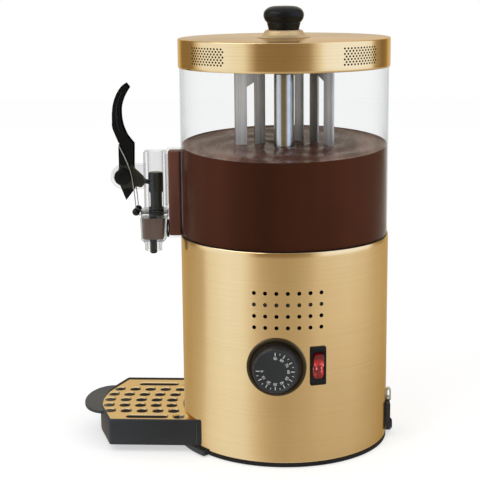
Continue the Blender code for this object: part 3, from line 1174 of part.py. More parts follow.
def lid(frame):
    """Gold lid with its seal, boss, knob and screw."""
    hole = SCREW_RADIUS + GAP
    corner = circle(LID_ROUND, 2, (LID_RADIUS - LID_ROUND, LID_TOP - LID_ROUND), math.radians(90),
                    math.radians(-90), True)
    inner = LID_RADIUS - LID_WALL
    inner_top = LID_TOP - LID_WALL
    profile = [(hole, LID_TOP)] + corner + [(LID_RADIUS, LID_BOTTOM), (inner, LID_BOTTOM),
                                            (inner, inner_top - LID_ROUND),
                                            (inner - LID_ROUND, inner_top), (hole, inner_top)]
    turned("lid_shell", profile, "gold", frame, BODY_STEPS)
    bottom = TANK_TOP + GAP
    outer = inner - GAP
    profile = [(outer, bottom + LID_SEAL_HEIGHT), (outer, bottom), (TANK_INNER, bottom),
               (TANK_INNER, bottom + LID_SEAL_HEIGHT)]
    turned("lid_seal", profile, "rubber", frame, BODY_STEPS)
    profile = [(hole, BOSS_TOP), (BOSS_TOP_RADIUS - BOSS_ROUND, BOSS_TOP),
               (BOSS_TOP_RADIUS, BOSS_TOP - BOSS_ROUND), (BOSS_RADIUS, BOSS_BOTTOM + BOSS_ROUND),
               (BOSS_RADIUS, BOSS_BOTTOM), (hole, BOSS_BOTTOM)]
    turned("lid_boss", profile, "gold", frame, RING_STEPS)
    rise = [(r * LID_KNOB_RADIUS, KNOB_BASE + z * LID_KNOB_HEIGHT) for r, z in LID_KNOB_SHARES]
    depth = KNOB_BASE + SCREW_REACH
    profile = [(0, rise[0][1])] + rise + [(hole, KNOB_BASE), (hole, depth), (0, depth)]
    turned("lid_knob", profile, "black_gloss", frame, RING_STEPS)
    head_top = inner_top - GAP
    head_bottom = head_top - SCREW_HEAD_HEIGHT
    profile = [(0, depth - GAP), (SCREW_RADIUS, depth - GAP), (SCREW_RADIUS, head_top),
               (SCREW_HEAD_RADIUS, head_top), (SCREW_HEAD_RADIUS, head_bottom), (0, head_bottom)]
    turned("knob_screw", profile, "steel", frame, SMALL_STEPS)


def tray_outline(rear_radius=TRAY_REAR_RADIUS):
    """Outline of the tray, counter-clockwise seen from above."""
    spread = math.asin(TRAY_HALF_WIDTH / rear_radius)
    rear = circle(rear_radius, 3 * ARC_STEPS, (0, 0), math.pi + spread, -2 * spread, True)
    front = [(-TRAY_SHOULDER_REACH, TRAY_HALF_WIDTH), (-TRAY_FRONT_REACH, TRAY_FRONT_HALF_WIDTH),
             (-TRAY_NOSE_REACH, 0), (-TRAY_FRONT_REACH, -TRAY_FRONT_HALF_WIDTH),
             (-TRAY_SHOULDER_REACH, -TRAY_HALF_WIDTH)]
    curve = smooth_path(front[1:4], 2)
    return rear + front[:1] + curve + front[4:]


def drip_tray(frame):
    """Black tray with a ledge for its grille and a lip to pull it by."""
    edge = tray_outline()
    tray = outline("drip_tray", [edge], TRAY_BOTTOM, TRAY_TOP, "black_plastic", frame)
    lip_top = TRAY_TOP - LIP_DROP
    base = TRAY_FRONT_REACH - TRAY_WALL
    bow = LIP_REACH - base
    lip = []
    for k in range(2 * ARC_STEPS + 1):
        angle = math.pi * k / (2 * ARC_STEPS)
        lip.append((-base - bow * math.sin(angle) ** 0.8, LIP_HALF_WIDTH * math.cos(angle)))
    inner = TRAY_SHOULDER_REACH + TRAY_WALL
    lip = [(-inner, LIP_HALF_WIDTH)] + lip + [(-inner, -LIP_HALF_WIDTH)]
    join(tray, outline("tray lip", [lip], lip_top - LIP_THICKNESS, lip_top, None, frame))
    open_edge = tray_outline(TRAY_REAR_RADIUS - TRAY_WALL - OVERRUN)
    cut(tray, outline("grille recess", [inset(open_edge, TRAY_WALL)], TRAY_STEP, TRAY_TOP + OVERRUN,
                      None, frame))
    cut(tray, outline("tray sump", [inset(edge, TRAY_WALL + TRAY_LEDGE)], TRAY_BOTTOM + TRAY_WALL,
                      TRAY_STEP + OVERRUN, None, frame))


def drip_grille(frame):
    """Gold grille up to the body: rows of round holes on arcs about it, and two long slots."""
    rim = TRAY_WALL + GAP
    loops = [inset(tray_outline(TRAY_REAR_RADIUS - rim), rim)]
    for row in range(GRILLE_ROWS):
        y = GRILLE_ROW_PITCH * (row - (GRILLE_ROWS - 1) / 2)
        first = math.sqrt(GRILLE_FIRST_ARC ** 2 - y ** 2)
        for column in range(GRILLE_COLUMNS):
            centre = (-first - GRILLE_COLUMN_PITCH * column, y)
            loops.append(circle(GRILLE_HOLE_RADIUS, GRILLE_STEPS, centre))
    y = GRILLE_ROW_PITCH * (GRILLE_ROWS + 1) / 2
    first = math.sqrt(GRILLE_FIRST_ARC ** 2 - y ** 2)
    for side in (-y, y):
        loops.append(circle(GRILLE_HOLE_RADIUS, GRILLE_STEPS, (-first, side)))
        slot = circle(SLOT_RADIUS, HEX_STEPS, (-SLOT_END + SLOT_RADIUS, side), math.radians(90),
                      math.pi, True)
        slot += circle(SLOT_RADIUS, HEX_STEPS, (-SLOT_START - SLOT_RADIUS, side),
                       math.radians(-90), math.pi, True)
        loops.append(slot)
    outline("drip_grille", loops, GRILLE_BOTTOM, GRILLE_TOP, "gold", frame)


def tray_bracket(axis):
    """Black bracket that hugs the foot of the body and carries the tray."""
    inner = BODY_RADIUS + GAP
    outer = inner + BRACKET_WIDTH
    steps = 3 * ARC_STEPS
    arc = circle(outer, steps, (0, 0), math.pi - BRACKET_SPREAD, 2 * BRACKET_SPREAD, True)
    arc += circle(inner, steps, (0, 0), math.pi + BRACKET_SPREAD, -2 * BRACKET_SPREAD, True)
    outline("tray_bracket", [arc], BASE_RIM_BOTTOM, TRAY_BOTTOM - GAP, "black_plastic", axis)


def build():
    """Make every piece of the dispenser."""
    start_scene()
    axis = empty("machine_axis", place=(AXIS_X, AXIS_Y, 0))
    base_plate(axis)
    feet(axis)
    body_shell(axis)
    thermostat(axis)
    thermostat_knob(axis)
    rocker_switch(axis)
    rear_terminal(axis)
    heating_base(axis)
    drive_unit(axis)
    tray_bracket(axis)
    tank_frame = empty("tank_frame", axis)
    tank(tank_frame)
    mixer_axis = empty("mixer_axis", tank_frame)
    mixer(mixer_axis)
    drink(tank_frame, mixer_axis)
    tap_chamber(tank_frame)
    tap_collar(tank_frame)
    tap_guide(tank_frame)
    plunger(tank_frame)
    lever(tank_frame)
    return_spring(tank_frame)
    lid_frame = empty("lid_frame", tank_frame)
    lid(lid_frame)
    tray_frame = empty("tray_frame", axis)
    drip_tray(tray_frame)
    grille_frame = empty("grille_frame", tray_frame)
    drip_grille(grille_frame)
    bpy.context.view_layer.update()


build()
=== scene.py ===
"""Looks of a hot chocolate dispenser, laid out as a Blender add-on and run as a script.

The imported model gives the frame. Round, moulded and liquid pieces are worked out here as
numpy surfaces in the machine's own frame: Z is the body's axis, the tap points to -X and
the control panel looks to -Y. Every length is in metres.
"""

import functools
import math
from operator import add

import bmesh
import bpy
import numpy as np
from bpy.props import FloatProperty, FloatVectorProperty, PointerProperty
from bpy.types import Operator, Panel, PropertyGroup
from mathutils import Matrix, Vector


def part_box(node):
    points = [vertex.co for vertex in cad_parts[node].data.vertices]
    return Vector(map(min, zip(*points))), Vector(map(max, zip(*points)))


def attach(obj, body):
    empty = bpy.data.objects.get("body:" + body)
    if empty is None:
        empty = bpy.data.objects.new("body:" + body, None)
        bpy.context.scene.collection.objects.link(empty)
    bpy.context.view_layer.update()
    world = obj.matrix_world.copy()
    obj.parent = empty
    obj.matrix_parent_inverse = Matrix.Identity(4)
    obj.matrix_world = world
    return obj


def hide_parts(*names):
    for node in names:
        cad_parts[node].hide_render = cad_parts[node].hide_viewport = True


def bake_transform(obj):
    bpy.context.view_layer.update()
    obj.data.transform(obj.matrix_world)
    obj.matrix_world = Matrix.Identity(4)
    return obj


bl_info = {
    "name": "Hot Chocolate Dispenser",
    "version": (1, 0, 0),
    "blender": (4, 5, 0),
    "location": "3D View > Sidebar > Dispenser",
    "description": "Builds the dressed hot chocolate dispenser round its packed model",
    "category": "Object",
}

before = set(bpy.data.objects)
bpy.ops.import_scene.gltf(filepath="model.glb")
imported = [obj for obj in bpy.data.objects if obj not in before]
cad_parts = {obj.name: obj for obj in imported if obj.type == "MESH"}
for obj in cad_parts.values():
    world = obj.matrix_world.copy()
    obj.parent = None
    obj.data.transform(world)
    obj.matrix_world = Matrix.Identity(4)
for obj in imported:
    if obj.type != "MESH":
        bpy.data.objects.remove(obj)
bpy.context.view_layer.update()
RING_LOW, RING_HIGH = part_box("tank_seal")
AXIS = np.array([(RING_LOW.x + RING_HIGH.x) / 2, (RING_LOW.y + RING_HIGH.y) / 2, 0.0])


# Properties

def length(name, description, default):
    """A size in metres that a user may change."""
    return FloatProperty(name=name, description=description, default=default, unit="LENGTH",
                         precision=4)


def amount(name, description, default):
    """A plain number that a user may change."""
    return FloatProperty(name=name, description=description, default=default, precision=3)


def angle(name, description, degrees):
    """An angle that a user may change."""
    return FloatProperty(name=name, description=description, default=math.radians(degrees),
                         subtype="ANGLE")


def colour(name, description, *rgb):
    """A linear colour that a user may change."""
    return FloatVectorProperty(name=name, description=description, default=rgb, size=3,
                               subtype="COLOR", min=0.0, max=1.0)


class DispenserBody(PropertyGroup):
    """Sizes of the round body and what is on it."""
    radius: length("Radius", "Outer radius of the gold shell", 0.115)
    wall: length("Wall", "Thickness of the shell", 0.0012)
    bottom: length("Bottom", "Height of the shell's lower edge", 0.005)
    top: length("Top", "Height of the shell's upper edge", 0.2334)
    vent: length("Vent radius", "Radius of an air vent", 0.0022)
    vent_pitch: length("Vent pitch", "Spacing of the vents along a row", 0.0119)
    vent_row: length("Vent row", "Spacing of the rows of vents", 0.0123)
    vent_top: length("Vent top", "Height of the top row", 0.1906)
    vent_angle: angle("Vent angle", "Where the vents are centred, from the front", 3.15)
    dial_angle: angle("Dial angle", "Where the dial sits, from the front", -2.9)
    dial_height: length("Dial height", "Height of the dial's axis", 0.1116)
    switch_angle: angle("Switch angle", "Where the switch sits, from the front", 19.1)
    switch_height: length("Switch height", "Height of the switch's centre", 0.1117)


class DispenserTank(PropertyGroup):
    """Sizes of the tank and of the drink."""
    radius: length("Radius", "Outer radius of the clear tank", 0.1137)
    wall: length("Wall", "Thickness of the clear wall", 0.0009)
    bottom: length("Bottom", "Height of the tank's lower edge", 0.2341)
    top: length("Top", "Height of the tank's upper edge", 0.421)
    level: length("Level", "Mean height of the drink", 0.3319)
    slosh: length("Slosh", "How far the drink stands higher at the back", 0.0065)
    column: length("Column radius", "Outer radius of the centre column", 0.011)


class DispenserLid(PropertyGroup):
    """Sizes of the lid and its knob."""
    radius: length("Radius", "Outer radius of the lid", 0.1151)
    bottom: length("Bottom", "Height of the skirt's lower edge", 0.4169)
    top: length("Top", "Height of the lid's upper face", 0.4477)
    hole: length("Hole radius", "Radius of one of the small holes", 0.0012)
    hole_pitch: length("Hole pitch", "Spacing of the holes along a row", 0.0044)
    hole_row: length("Hole row", "Spacing of the rows of holes", 0.00272)
    knob: length("Knob radius", "Largest radius of the knob", 0.0219)
    knob_height: length("Knob height", "Height of the knob", 0.0252)


class DispenserTap(PropertyGroup):
    """Sizes of the tap and its lever."""
    plunger: length("Plunger axis", "Distance of the plunger's axis from the body's axis", 0.1428)
    stem: length("Stem axis", "Distance of the stem's axis from the body's axis", 0.147)
    pivot: length("Pivot", "Distance of the lever's pivot from the body's axis", 0.1786)
    pivot_height: length("Pivot height", "Height of the lever's pivot", 0.2962)
    lever: length("Lever height", "Height of the lever above its pivot", 0.102)


class DispenserTray(PropertyGroup):
    """Sizes of the drip tray and its grille."""
    top: length("Rim", "Height of the tray's rim", 0.0379)
    bottom: length("Bottom", "Height of the tray's underside", 0.0078)
    half: length("Half width", "Half of the tray's width", 0.075)
    rear: length("Rear radius", "Radius of the edge that hugs the body", 0.1162)
    hole: length("Hole radius", "Radius of a hole in the grille", 0.0064)
    row: length("Row pitch", "Spacing of the rows of holes", 0.0191)
    column: length("Column pitch", "Spacing of the holes along a row", 0.01794)
    arc: length("First arc", "Radius of the first arc of holes", 0.1295)


class DispenserFinish(PropertyGroup):
    """Colours of the finishes and levels of the light."""
    gold: colour("Gold", "Brushed gold-coloured metal", 0.800, 0.600, 0.335)
    steel: colour("Steel", "Stainless steel", 0.62, 0.63, 0.62)
    black: colour("Black", "Black mouldings", 0.023, 0.024, 0.028)
    grey: colour("Grey", "Grey mouldings", 0.22, 0.22, 0.215)
    drink: colour("Drink", "The drink seen through the tank", 0.060, 0.0185, 0.0090)
    froth: colour("Froth", "Lighter swirls on the drink", 0.265, 0.125, 0.088)
    red: colour("Red", "The lit rocker", 0.46, 0.008, 0.016)
    white: colour("White", "Marks on the dial", 0.75, 0.76, 0.74)
    room: amount("Room light", "Strength of the light from all round", 0.62)
    key: amount("Key light", "Power of the large soft lamp", 9.0)
    fill: amount("Fill light", "Power of the second soft lamp", 4.0)


# Surfaces

def softened(points, radius, pieces=4):
    """Round the corners of an open profile.

    Each inner corner P is replaced by the curve (1-t)^2 A + 2t(1-t) P + t^2 B, where A and
    B lie at the radius before and after the corner, or half a side away where that is less.
    """
    points = np.asarray(points, float)
    inner = points[1:-1]
    before = points[:-2] - inner
    after = points[2:] - inner
    reach_a = np.minimum(1.0, radius / np.maximum(np.linalg.norm(before, axis=1), 1e-9))
    reach_b = np.minimum(1.0, radius / np.maximum(np.linalg.norm(after, axis=1), 1e-9))
    start = inner + before * np.minimum(reach_a, 0.5)[:, None]
    end = inner + after * np.minimum(reach_b, 0.5)[:, None]
    t = np.linspace(0, 1, pieces + 1)[None, :, None]
    curve = (1 - t) ** 2 * start[:, None] + 2 * t * (1 - t) * inner[:, None] + t ** 2 * end[:, None]
    return np.vstack([points[:1], curve.reshape(-1, points.shape[1]), points[-1:]])


def flowing(points, pieces=6):
    """A smooth curve through all points: the cubic that meets each with its neighbours' slope."""
    p = np.asarray(points, float)
    t = np.linspace(0, 1, pieces, endpoint=False)[None, :, None]
    a, b, c, d = [q[:, None] for q in (np.vstack([p[:1], p[:-2]]), p[:-1], p[1:],
                                       np.vstack([p[2:], p[-1:]]))]
    curve = 0.5 * (2 * b + (c - a) * t + (2 * a - 5 * b + 4 * c - d) * t ** 2
                   + (3 * b - a - 3 * c + d) * t ** 3)
    return np.vstack([curve.reshape(-1, p.shape[1]), p[-1:]])


def circle(angles, radius=1.0, centre=(0.0, 0.0)):
    """Points (cx + r cos t, cy + r sin t)."""
    return radius * np.column_stack([np.cos(angles), np.sin(angles)]) + centre


def cells_of(index):
    """The four corners of each cell of a grid of point numbers."""
    return np.stack([index[:-1, :-1], index[1:, :-1], index[1:, 1:], index[:-1, 1:]], -1)


def belt(first, second):
    """Quads between two closed rows of point numbers."""
    return np.stack([first, np.roll(first, -1), np.roll(second, -1), second], -1)


def hem(line, shift):
    """Quads that join an open edge of one layer to the same edge of the layer after it."""
    return np.stack([line[:-1], line[:-1] + shift, line[1:] + shift, line[1:]], -1)


def sheet(points, around=False, along=False):
    """Quads over a grid of points[u, v], closed round u or along v where asked."""
    nu, nv = points.shape[:2]
    index = np.arange(nu * nv).reshape(nu, nv)
    if around:
        index = np.vstack([index, index[:1]])
    if along:
        index = np.hstack([index, index[:, :1]])
    return points.reshape(-1, 3), cells_of(index).reshape(-1, 4)


def joined(*shapes):
    """Several shapes as one list of points and faces."""
    points, faces, start = [], [], 0
    for verts, sides in shapes:
        points.append(verts)
        faces += (np.asarray(sides) + start).tolist() if isinstance(sides, np.ndarray) else \
            [[start + k for k in side] for side in sides]
        start += len(verts)
    return np.vstack(points), faces


def turned(profile, steps=128):
    """Turn a profile (r, z) about Z: the point is (r cos a, r sin a, z)."""
    return swept(profile, np.linspace(0, 2 * np.pi, steps, endpoint=False))


def swept(profile, angles):
    """The turned surface of a profile (r, z) with points at these angles only."""
    a, (r, z) = angles[:, None], np.asarray(profile, float).T[:, None]
    return sheet(np.stack([r * np.cos(a), r * np.sin(a), z + 0 * a], -1), around=True)


def lathe(profile, edge, steps=128):
    """Turn a profile whose corners are rounded."""
    return turned(softened(profile, edge), steps)


def inward(outline, distance):
    """Move each side of a closed counter-clockwise outline inwards, with mitred corners."""
    outline = np.asarray(outline, float)
    side = np.roll(outline, -1, 0) - outline
    side /= np.maximum(np.linalg.norm(side, axis=1), 1e-12)[:, None]
    normal = np.stack([-side[:, 1], side[:, 0]], -1)
    middle = normal + np.roll(normal, 1, 0)
    middle /= np.maximum(np.linalg.norm(middle, axis=1), 1e-12)[:, None]
    return outline + middle * (distance / np.maximum((middle * normal).sum(1), 0.35))[:, None]


def carried(outline, profile, cap_first=True, cap_last=True):
    """Carry a profile of (distance inwards, height) along a closed outline, and cap its ends."""
    rings = [np.column_stack([inward(outline, d), np.full(len(outline), z)]) for d, z in profile]
    verts, quads = sheet(np.stack(rings, 1), around=True)
    index = np.arange(len(outline)) * len(profile)
    faces = quads.tolist()
    if cap_first:
        faces.append(index[::-1].tolist())
    if cap_last:
        faces.append((index + len(profile) - 1).tolist())
    return verts, faces


def plate(outline, low, high, edge, pieces=3):
    """A flat plate of an outline, with its upper and lower edges rounded."""
    return carried(outline, softened([(edge, low), (0, low), (0, high), (edge, high)], edge, pieces))


def ring_of(half_x, half_y, power=6.0, steps=64, centre=(0.0, 0.0)):
    """A rounded rectangle: x = a sign(cos t)|cos t|^(2/n), y = b sign(sin t)|sin t|^(2/n)."""
    t = np.linspace(0, 2 * np.pi, steps, endpoint=False)
    c, s = np.cos(t), np.sin(t)
    x = centre[0] + half_x * np.sign(c) * np.abs(c) ** (2 / power)
    y = centre[1] + half_y * np.sign(s) * np.abs(s) ** (2 / power)
    return np.column_stack([x, y])


def lofted(rings, heights, closed=True):
    """A skin through flat rings at their heights, joined last to first where it is closed."""
    points = np.stack([np.column_stack([ring, np.full(len(ring), z)])
                       for ring, z in zip(rings, heights)], 1)
    return sheet(points, around=True, along=closed)


def tube(path, radius, sides=12):
    """A round wire: a circle carried along a path, square to it, with both ends capped."""
    path = np.asarray(path, float)
    radius = np.broadcast_to(radius, len(path))
    along = np.gradient(path, axis=0)
    along /= np.linalg.norm(along, axis=1)[:, None]
    helper = np.array([0.31, 0.22, 0.92])
    across = np.cross(along, helper)
    across /= np.linalg.norm(across, axis=1)[:, None]
    other = np.cross(along, across)
    a = np.linspace(0, 2 * np.pi, sides, endpoint=False)[:, None, None]
    points = path + radius[:, None] * (np.cos(a) * across + np.sin(a) * other)
    verts, quads = sheet(points, around=True)
    index = np.arange(sides) * len(path)
    return verts, quads.tolist() + [index[::-1].tolist(), (index + len(path) - 1).tolist()]


def opened(nu, nv, blocks):
    """A grid of point numbers, its cells outside the blocks, and each block's border.

    A block starts with its first cell and its cells in u and v; its border is two lists of
    places in the grid, that run round it from its first corner.
    """
    keep = np.ones((nu - 1, nv - 1), bool)
    borders = []
    for iu, iv, cu, cv, *_ in blocks:
        keep[iu:iu + cu, iv:iv + cv] = False
        i = np.r_[np.arange(cu), np.full(cv, cu), np.arange(cu, 0, -1), np.zeros(cv, int)] + iu
        j = np.r_[np.zeros(cu, int), np.arange(cv), np.full(cu, cv), np.arange(cv, 0, -1)] + iv
        borders.append((i, j))
    index = np.arange(nu * nv).reshape(nu, nv)
    return index, cells_of(index)[keep], borders


def pierced(u, v, blocks, around, low, high, hole, wall):
    """A round wall with round holes: the point is (p sin u, -p cos u, v), p near its radius.

    A block is (iu, iv, cells in u, cells in v, centre). Its cells are left out, and a ring of
    quads joins its border to the hole, whose points lie at the hole's radius from its centre.
    The outer edge is tucked in by 0.4 mm where the wall ends at low and at high.
    """
    index, kept, borders = opened(len(u), len(v), blocks)
    flat = [np.column_stack([part.ravel() for part in np.meshgrid(u, v, indexing="ij")])]
    for (i, j), (*_, centre) in zip(borders, blocks):
        away = np.column_stack([(u[i] - centre[0]) * around, v[j] - centre[1]])
        away *= hole / np.linalg.norm(away, axis=1)[:, None]
        flat.append(centre + away / [around, 1])
    turn, height = np.vstack(flat).T
    tuck = 0.0004 * np.clip(1 - np.minimum(height - low, high - height) / 0.0009, 0, 1) ** 2
    layers = [np.column_stack([rho * np.sin(turn), -rho * np.cos(turn), height])
              for rho in (around - tuck, around - wall + 0 * turn)]
    total, start = len(turn), index.size
    faces = [kept, kept[:, ::-1] + total]
    for i, j in borders:
        ring = start + np.arange(len(i))
        quads = belt(index[i, j], ring)
        faces += [quads, quads[:, ::-1] + total, belt(ring, ring + total)]
        start += len(i)
    faces += [hem(index[:, 0], total), hem(index[::-1, -1], total)]
    return np.vstack(layers), np.vstack(faces)


def placed(shape, matrix, origin=(0, 0, 0)):
    """A shape with its X, Y and Z carried onto the rows of a matrix, and moved to an origin."""
    return shape[0] @ np.asarray(matrix, float) + np.asarray(origin, float), shape[1]


def outwards(turn, height, reach=0.0):
    """Rows and origin of a frame on the body: X to the side, Y up and Z out of the body."""
    c, s = math.cos(turn), math.sin(turn)
    return np.array([[c, s, 0], [0, 0, 1], [s, -c, 0]]), np.array([s * reach, -c * reach, height])


def moved(shape, x=0.0, y=0.0, z=0.0):
    """A shape moved to an origin."""
    return shape[0] + (x, y, z), shape[1]


def spun(points, turn):
    """Points turned about Z, counter-clockwise."""
    c, q = math.cos(turn), math.sin(turn)
    return points @ np.array([[c, q], [-q, c]])


UPRIGHT = np.array([[1, 0, 0], [0, 0, 1], [0, -1, 0]])


def linked(name, data):
    """An object of this data, in the scene."""
    obj = bpy.data.objects.new(name, data)
    bpy.context.scene.collection.objects.link(obj)
    return obj


def piece(name, shape, body, look, node=None, sharp=32, outside=True):
    """Make an object of a shape, and tell the frame what it rides on and stands for.

    Without a body it is left free, for a piece that two bodies share.
    """
    verts, faces = shape
    mesh = bpy.data.meshes.new(name)
    faces = faces.tolist() if isinstance(faces, np.ndarray) else faces
    mesh.from_pydata((verts + AXIS).tolist(), [], faces)
    bm = bmesh.new()
    bm.from_mesh(mesh)
    bmesh.ops.remove_doubles(bm, verts=bm.verts, dist=0.000004)
    bmesh.ops.dissolve_degenerate(bm, edges=bm.edges, dist=0.000001)
    if outside:
        bmesh.ops.recalc_face_normals(bm, faces=bm.faces)
    bm.to_mesh(mesh)
    bm.free()
    mesh.shade_smooth()
    mesh.set_sharp_from_angle(angle=math.radians(sharp))
    mesh.materials.append(finish(look))
    obj = linked(name, mesh)
    if body:
        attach(obj, body)
    if node:
        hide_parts(node)
    return obj


def dress(look, *nodes):
    """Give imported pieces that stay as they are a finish."""
    for node in nodes:
        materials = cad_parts[node].data.materials
        materials.clear()
        materials.append(finish(look))


# Finishes

class Signal:
    """The output of a node, with arithmetic that adds Math nodes."""

    def __init__(self, finish, socket):
        self.finish = finish
        self.socket = socket

    def __add__(self, other):
        return self.finish.maths("ADD", self, other)

    def __radd__(self, other):
        return self.finish.maths("ADD", other, self)

    def __sub__(self, other):
        return self.finish.maths("SUBTRACT", self, other)

    def __rsub__(self, other):
        return self.finish.maths("SUBTRACT", other, self)

    def __mul__(self, other):
        return self.finish.maths("MULTIPLY", self, other)

    def __rmul__(self, other):
        return self.finish.maths("MULTIPLY", other, self)

    def __truediv__(self, other):
        return self.finish.maths("DIVIDE", self, other)

    def __pow__(self, other):
        return self.finish.maths("POWER", self, other)


class Finish:
    """One material, or the world, and the nodes in it."""

    def __init__(self, name, kind="Material"):
        made = bpy.data.worlds if kind == "World" else bpy.data.materials
        self.material = made.new(name)
        self.material.use_nodes = True
        self.tree = self.material.node_tree
        self.tree.nodes.clear()
        self.output = self.node("ShaderNodeOutput" + kind)

    def node(self, kind, settings=None, inputs=None):
        """Add a node: its settings are set first, then its inputs get values or links."""
        made = self.tree.nodes.new(kind)
        for key, value in (settings or {}).items():
            if key == "stops":
                ramp = made.color_ramp
                while len(ramp.elements) > 1:
                    ramp.elements.remove(ramp.elements[-1])
                for k, (position, tint) in enumerate(value):
                    stop = ramp.elements[0] if k == 0 else ramp.elements.new(position)
                    stop.position = position
                    stop.color = (*tint, 1.0)
            elif key == "blend":
                made.color_ramp.interpolation = value
            else:
                setattr(made, key, value)
        for key, value in (inputs or {}).items():
            socket = made.inputs[key] if isinstance(key, int) else self.find(made.inputs, key)
            if isinstance(value, Signal):
                self.tree.links.new(value.socket, socket)
            elif socket.type == "RGBA" and len(value) == 3:
                socket.default_value = (*value, 1.0)
            else:
                socket.default_value = value
        return made

    def find(self, sockets, key):
        """The socket with this identifier or name."""
        for socket in sockets:
            if socket.identifier == key:
                return socket
        return sockets[key]

    def get(self, kind, settings=None, inputs=None, output=0):
        """Add a node and hand back one of its outputs."""
        made = self.node(kind, settings, inputs)
        socket = made.outputs[output] if isinstance(output, int) else self.find(made.outputs, output)
        return Signal(self, socket)

    def maths(self, operation, *values):
        """Add a Math node."""
        return self.get("ShaderNodeMath", {"operation": operation},
                        {k: value for k, value in enumerate(values)})

    def place(self, scale=(1, 1, 1), turn=(0, 0, 0)):
        """Object coordinates from the body's axis, stretched and turned."""
        at = self.get("ShaderNodeTexCoord", output="Object")
        moved = self.get("ShaderNodeMapping", {"vector_type": "POINT"},
                         {"Vector": at, "Location": tuple(-AXIS)})
        return self.get("ShaderNodeMapping", {"vector_type": "POINT"},
                        {"Vector": moved, "Scale": scale, "Rotation": turn})

    def split(self, vector):
        """The three parts of a vector."""
        made = self.node("ShaderNodeSeparateXYZ", None, {"Vector": vector})
        return [Signal(self, socket) for socket in made.outputs]

    def noise(self, vector, scale, detail=3.0, roughness=0.5):
        """Soft noise between 0 and 1."""
        return self.get("ShaderNodeTexNoise", None, {"Vector": vector, "Scale": scale,
                                                     "Detail": detail, "Roughness": roughness})

    def ramp(self, value, stops, blend="LINEAR"):
        """Turn a number into a colour."""
        return self.get("ShaderNodeValToRGB", {"stops": stops, "blend": blend}, {"Fac": value})

    def between(self, value, low, high, to_low=0.0, to_high=1.0):
        """Map a number from one range to another, and keep it inside."""
        return self.get("ShaderNodeMapRange", {"clamp": True},
                        {"Value": value, "From Min": low, "From Max": high, "To Min": to_low,
                         "To Max": to_high})

    def mix(self, factor, first, second, blend="MIX"):
        """Mix two colours."""
        return self.get("ShaderNodeMix", {"data_type": "RGBA", "blend_type": blend},
                        {"Factor_Float": factor, "A_Color": first, "B_Color": second},
                        "Result_Color")

    def bump(self, height, strength, distance):
        """A normal from a height."""
        return self.get("ShaderNodeBump", None, {"Height": height, "Strength": strength,
                                                 "Distance": distance})

    def normal(self):
        """The three parts of the surface's normal."""
        return self.split(self.get("ShaderNodeNewGeometry", output="Normal"))

    def facing(self, blend):
        """0 where the surface faces the viewer and 1 where it is seen edge on."""
        return self.get("ShaderNodeLayerWeight", None, {"Blend": blend}, "Facing")

    def blended(self, factor, first, second):
        """Mix two shaders."""
        return self.get("ShaderNodeMixShader", None, {0: factor, 1: first, 2: second})

    def seen(self, *kinds):
        """1 for rays of these kinds."""
        rays = [self.get("ShaderNodeLightPath", output="Is %s Ray" % kind) for kind in kinds]
        return functools.reduce(functools.partial(self.maths, "MAXIMUM"), rays)

    def azimuth(self, x, y):
        """The turn about the axis as a share of a full one: 0.5 is the front, -Y."""
        return self.maths("ARCTAN2", x, y * -1.0) / (2 * math.pi) + 0.5

    def dial(self, turn, whole, blend, *stops):
        """A grey level, as a share of the whole, against the azimuth in degrees."""
        return self.ramp(turn, [((at + 180) / 360, (level / whole,) * 3) for at, level in stops], blend)

    def shader(self, kind, **sockets):
        """A shader, whose sockets have _ for each space."""
        return self.get("ShaderNode" + kind, None,
                        {key.replace("_", " "): value for key, value in sockets.items()})

    def surface(self, **sockets):
        """Finish with one Principled shader."""
        return self.layered(self.shader("BsdfPrincipled", **sockets))

    def layered(self, shader):
        """Finish with a mixed shader."""
        self.tree.links.new(shader.socket, self.output.inputs["Surface"])
        return self.material


@functools.cache
def finish(name):
    """The finish of this name, made once."""
    look = bpy.context.scene.dispenser_finish
    return grained(look, **GRAINED[name]) if name in GRAINED else SPECIAL[name](look)


def toned(rgb, factor):
    """A colour made lighter or darker."""
    return tuple(min(1.0, part * factor) for part in rgb)


def shades(look, name, *stops):
    """Ramp stops (place, factor) of the colour that a user sets under this name."""
    return [(place, toned(getattr(look, name), factor)) for place, factor in stops]


def grained(look, label, noises, tone, stops, rough, relief=None, **sockets):
    """A finish of noises: each is the scales of its place, its scale, detail and roughness.

    tone weighs them into the number that the stops turn into a colour. rough is a number,
    followed by a weight for each noise. relief is (noise, strength, distance) of the bump.
    """
    f = Finish(label)
    values = [f.noise(f.place(stretch), *rest) for stretch, *rest in noises]

    def weighed(weights):
        """The sum of the noises, each times its weight."""
        return functools.reduce(add, [v * w for v, w in zip(values, weights) if w])

    stops = shades(look, *stops) if isinstance(stops[0], str) else stops
    if relief:
        sockets["Normal"] = f.bump(values[relief[0]], *relief[1:])
    return f.surface(Base_Color=f.ramp(weighed(tone), stops), Roughness=weighed(rough[1:]) + rough[0],
                     **sockets)


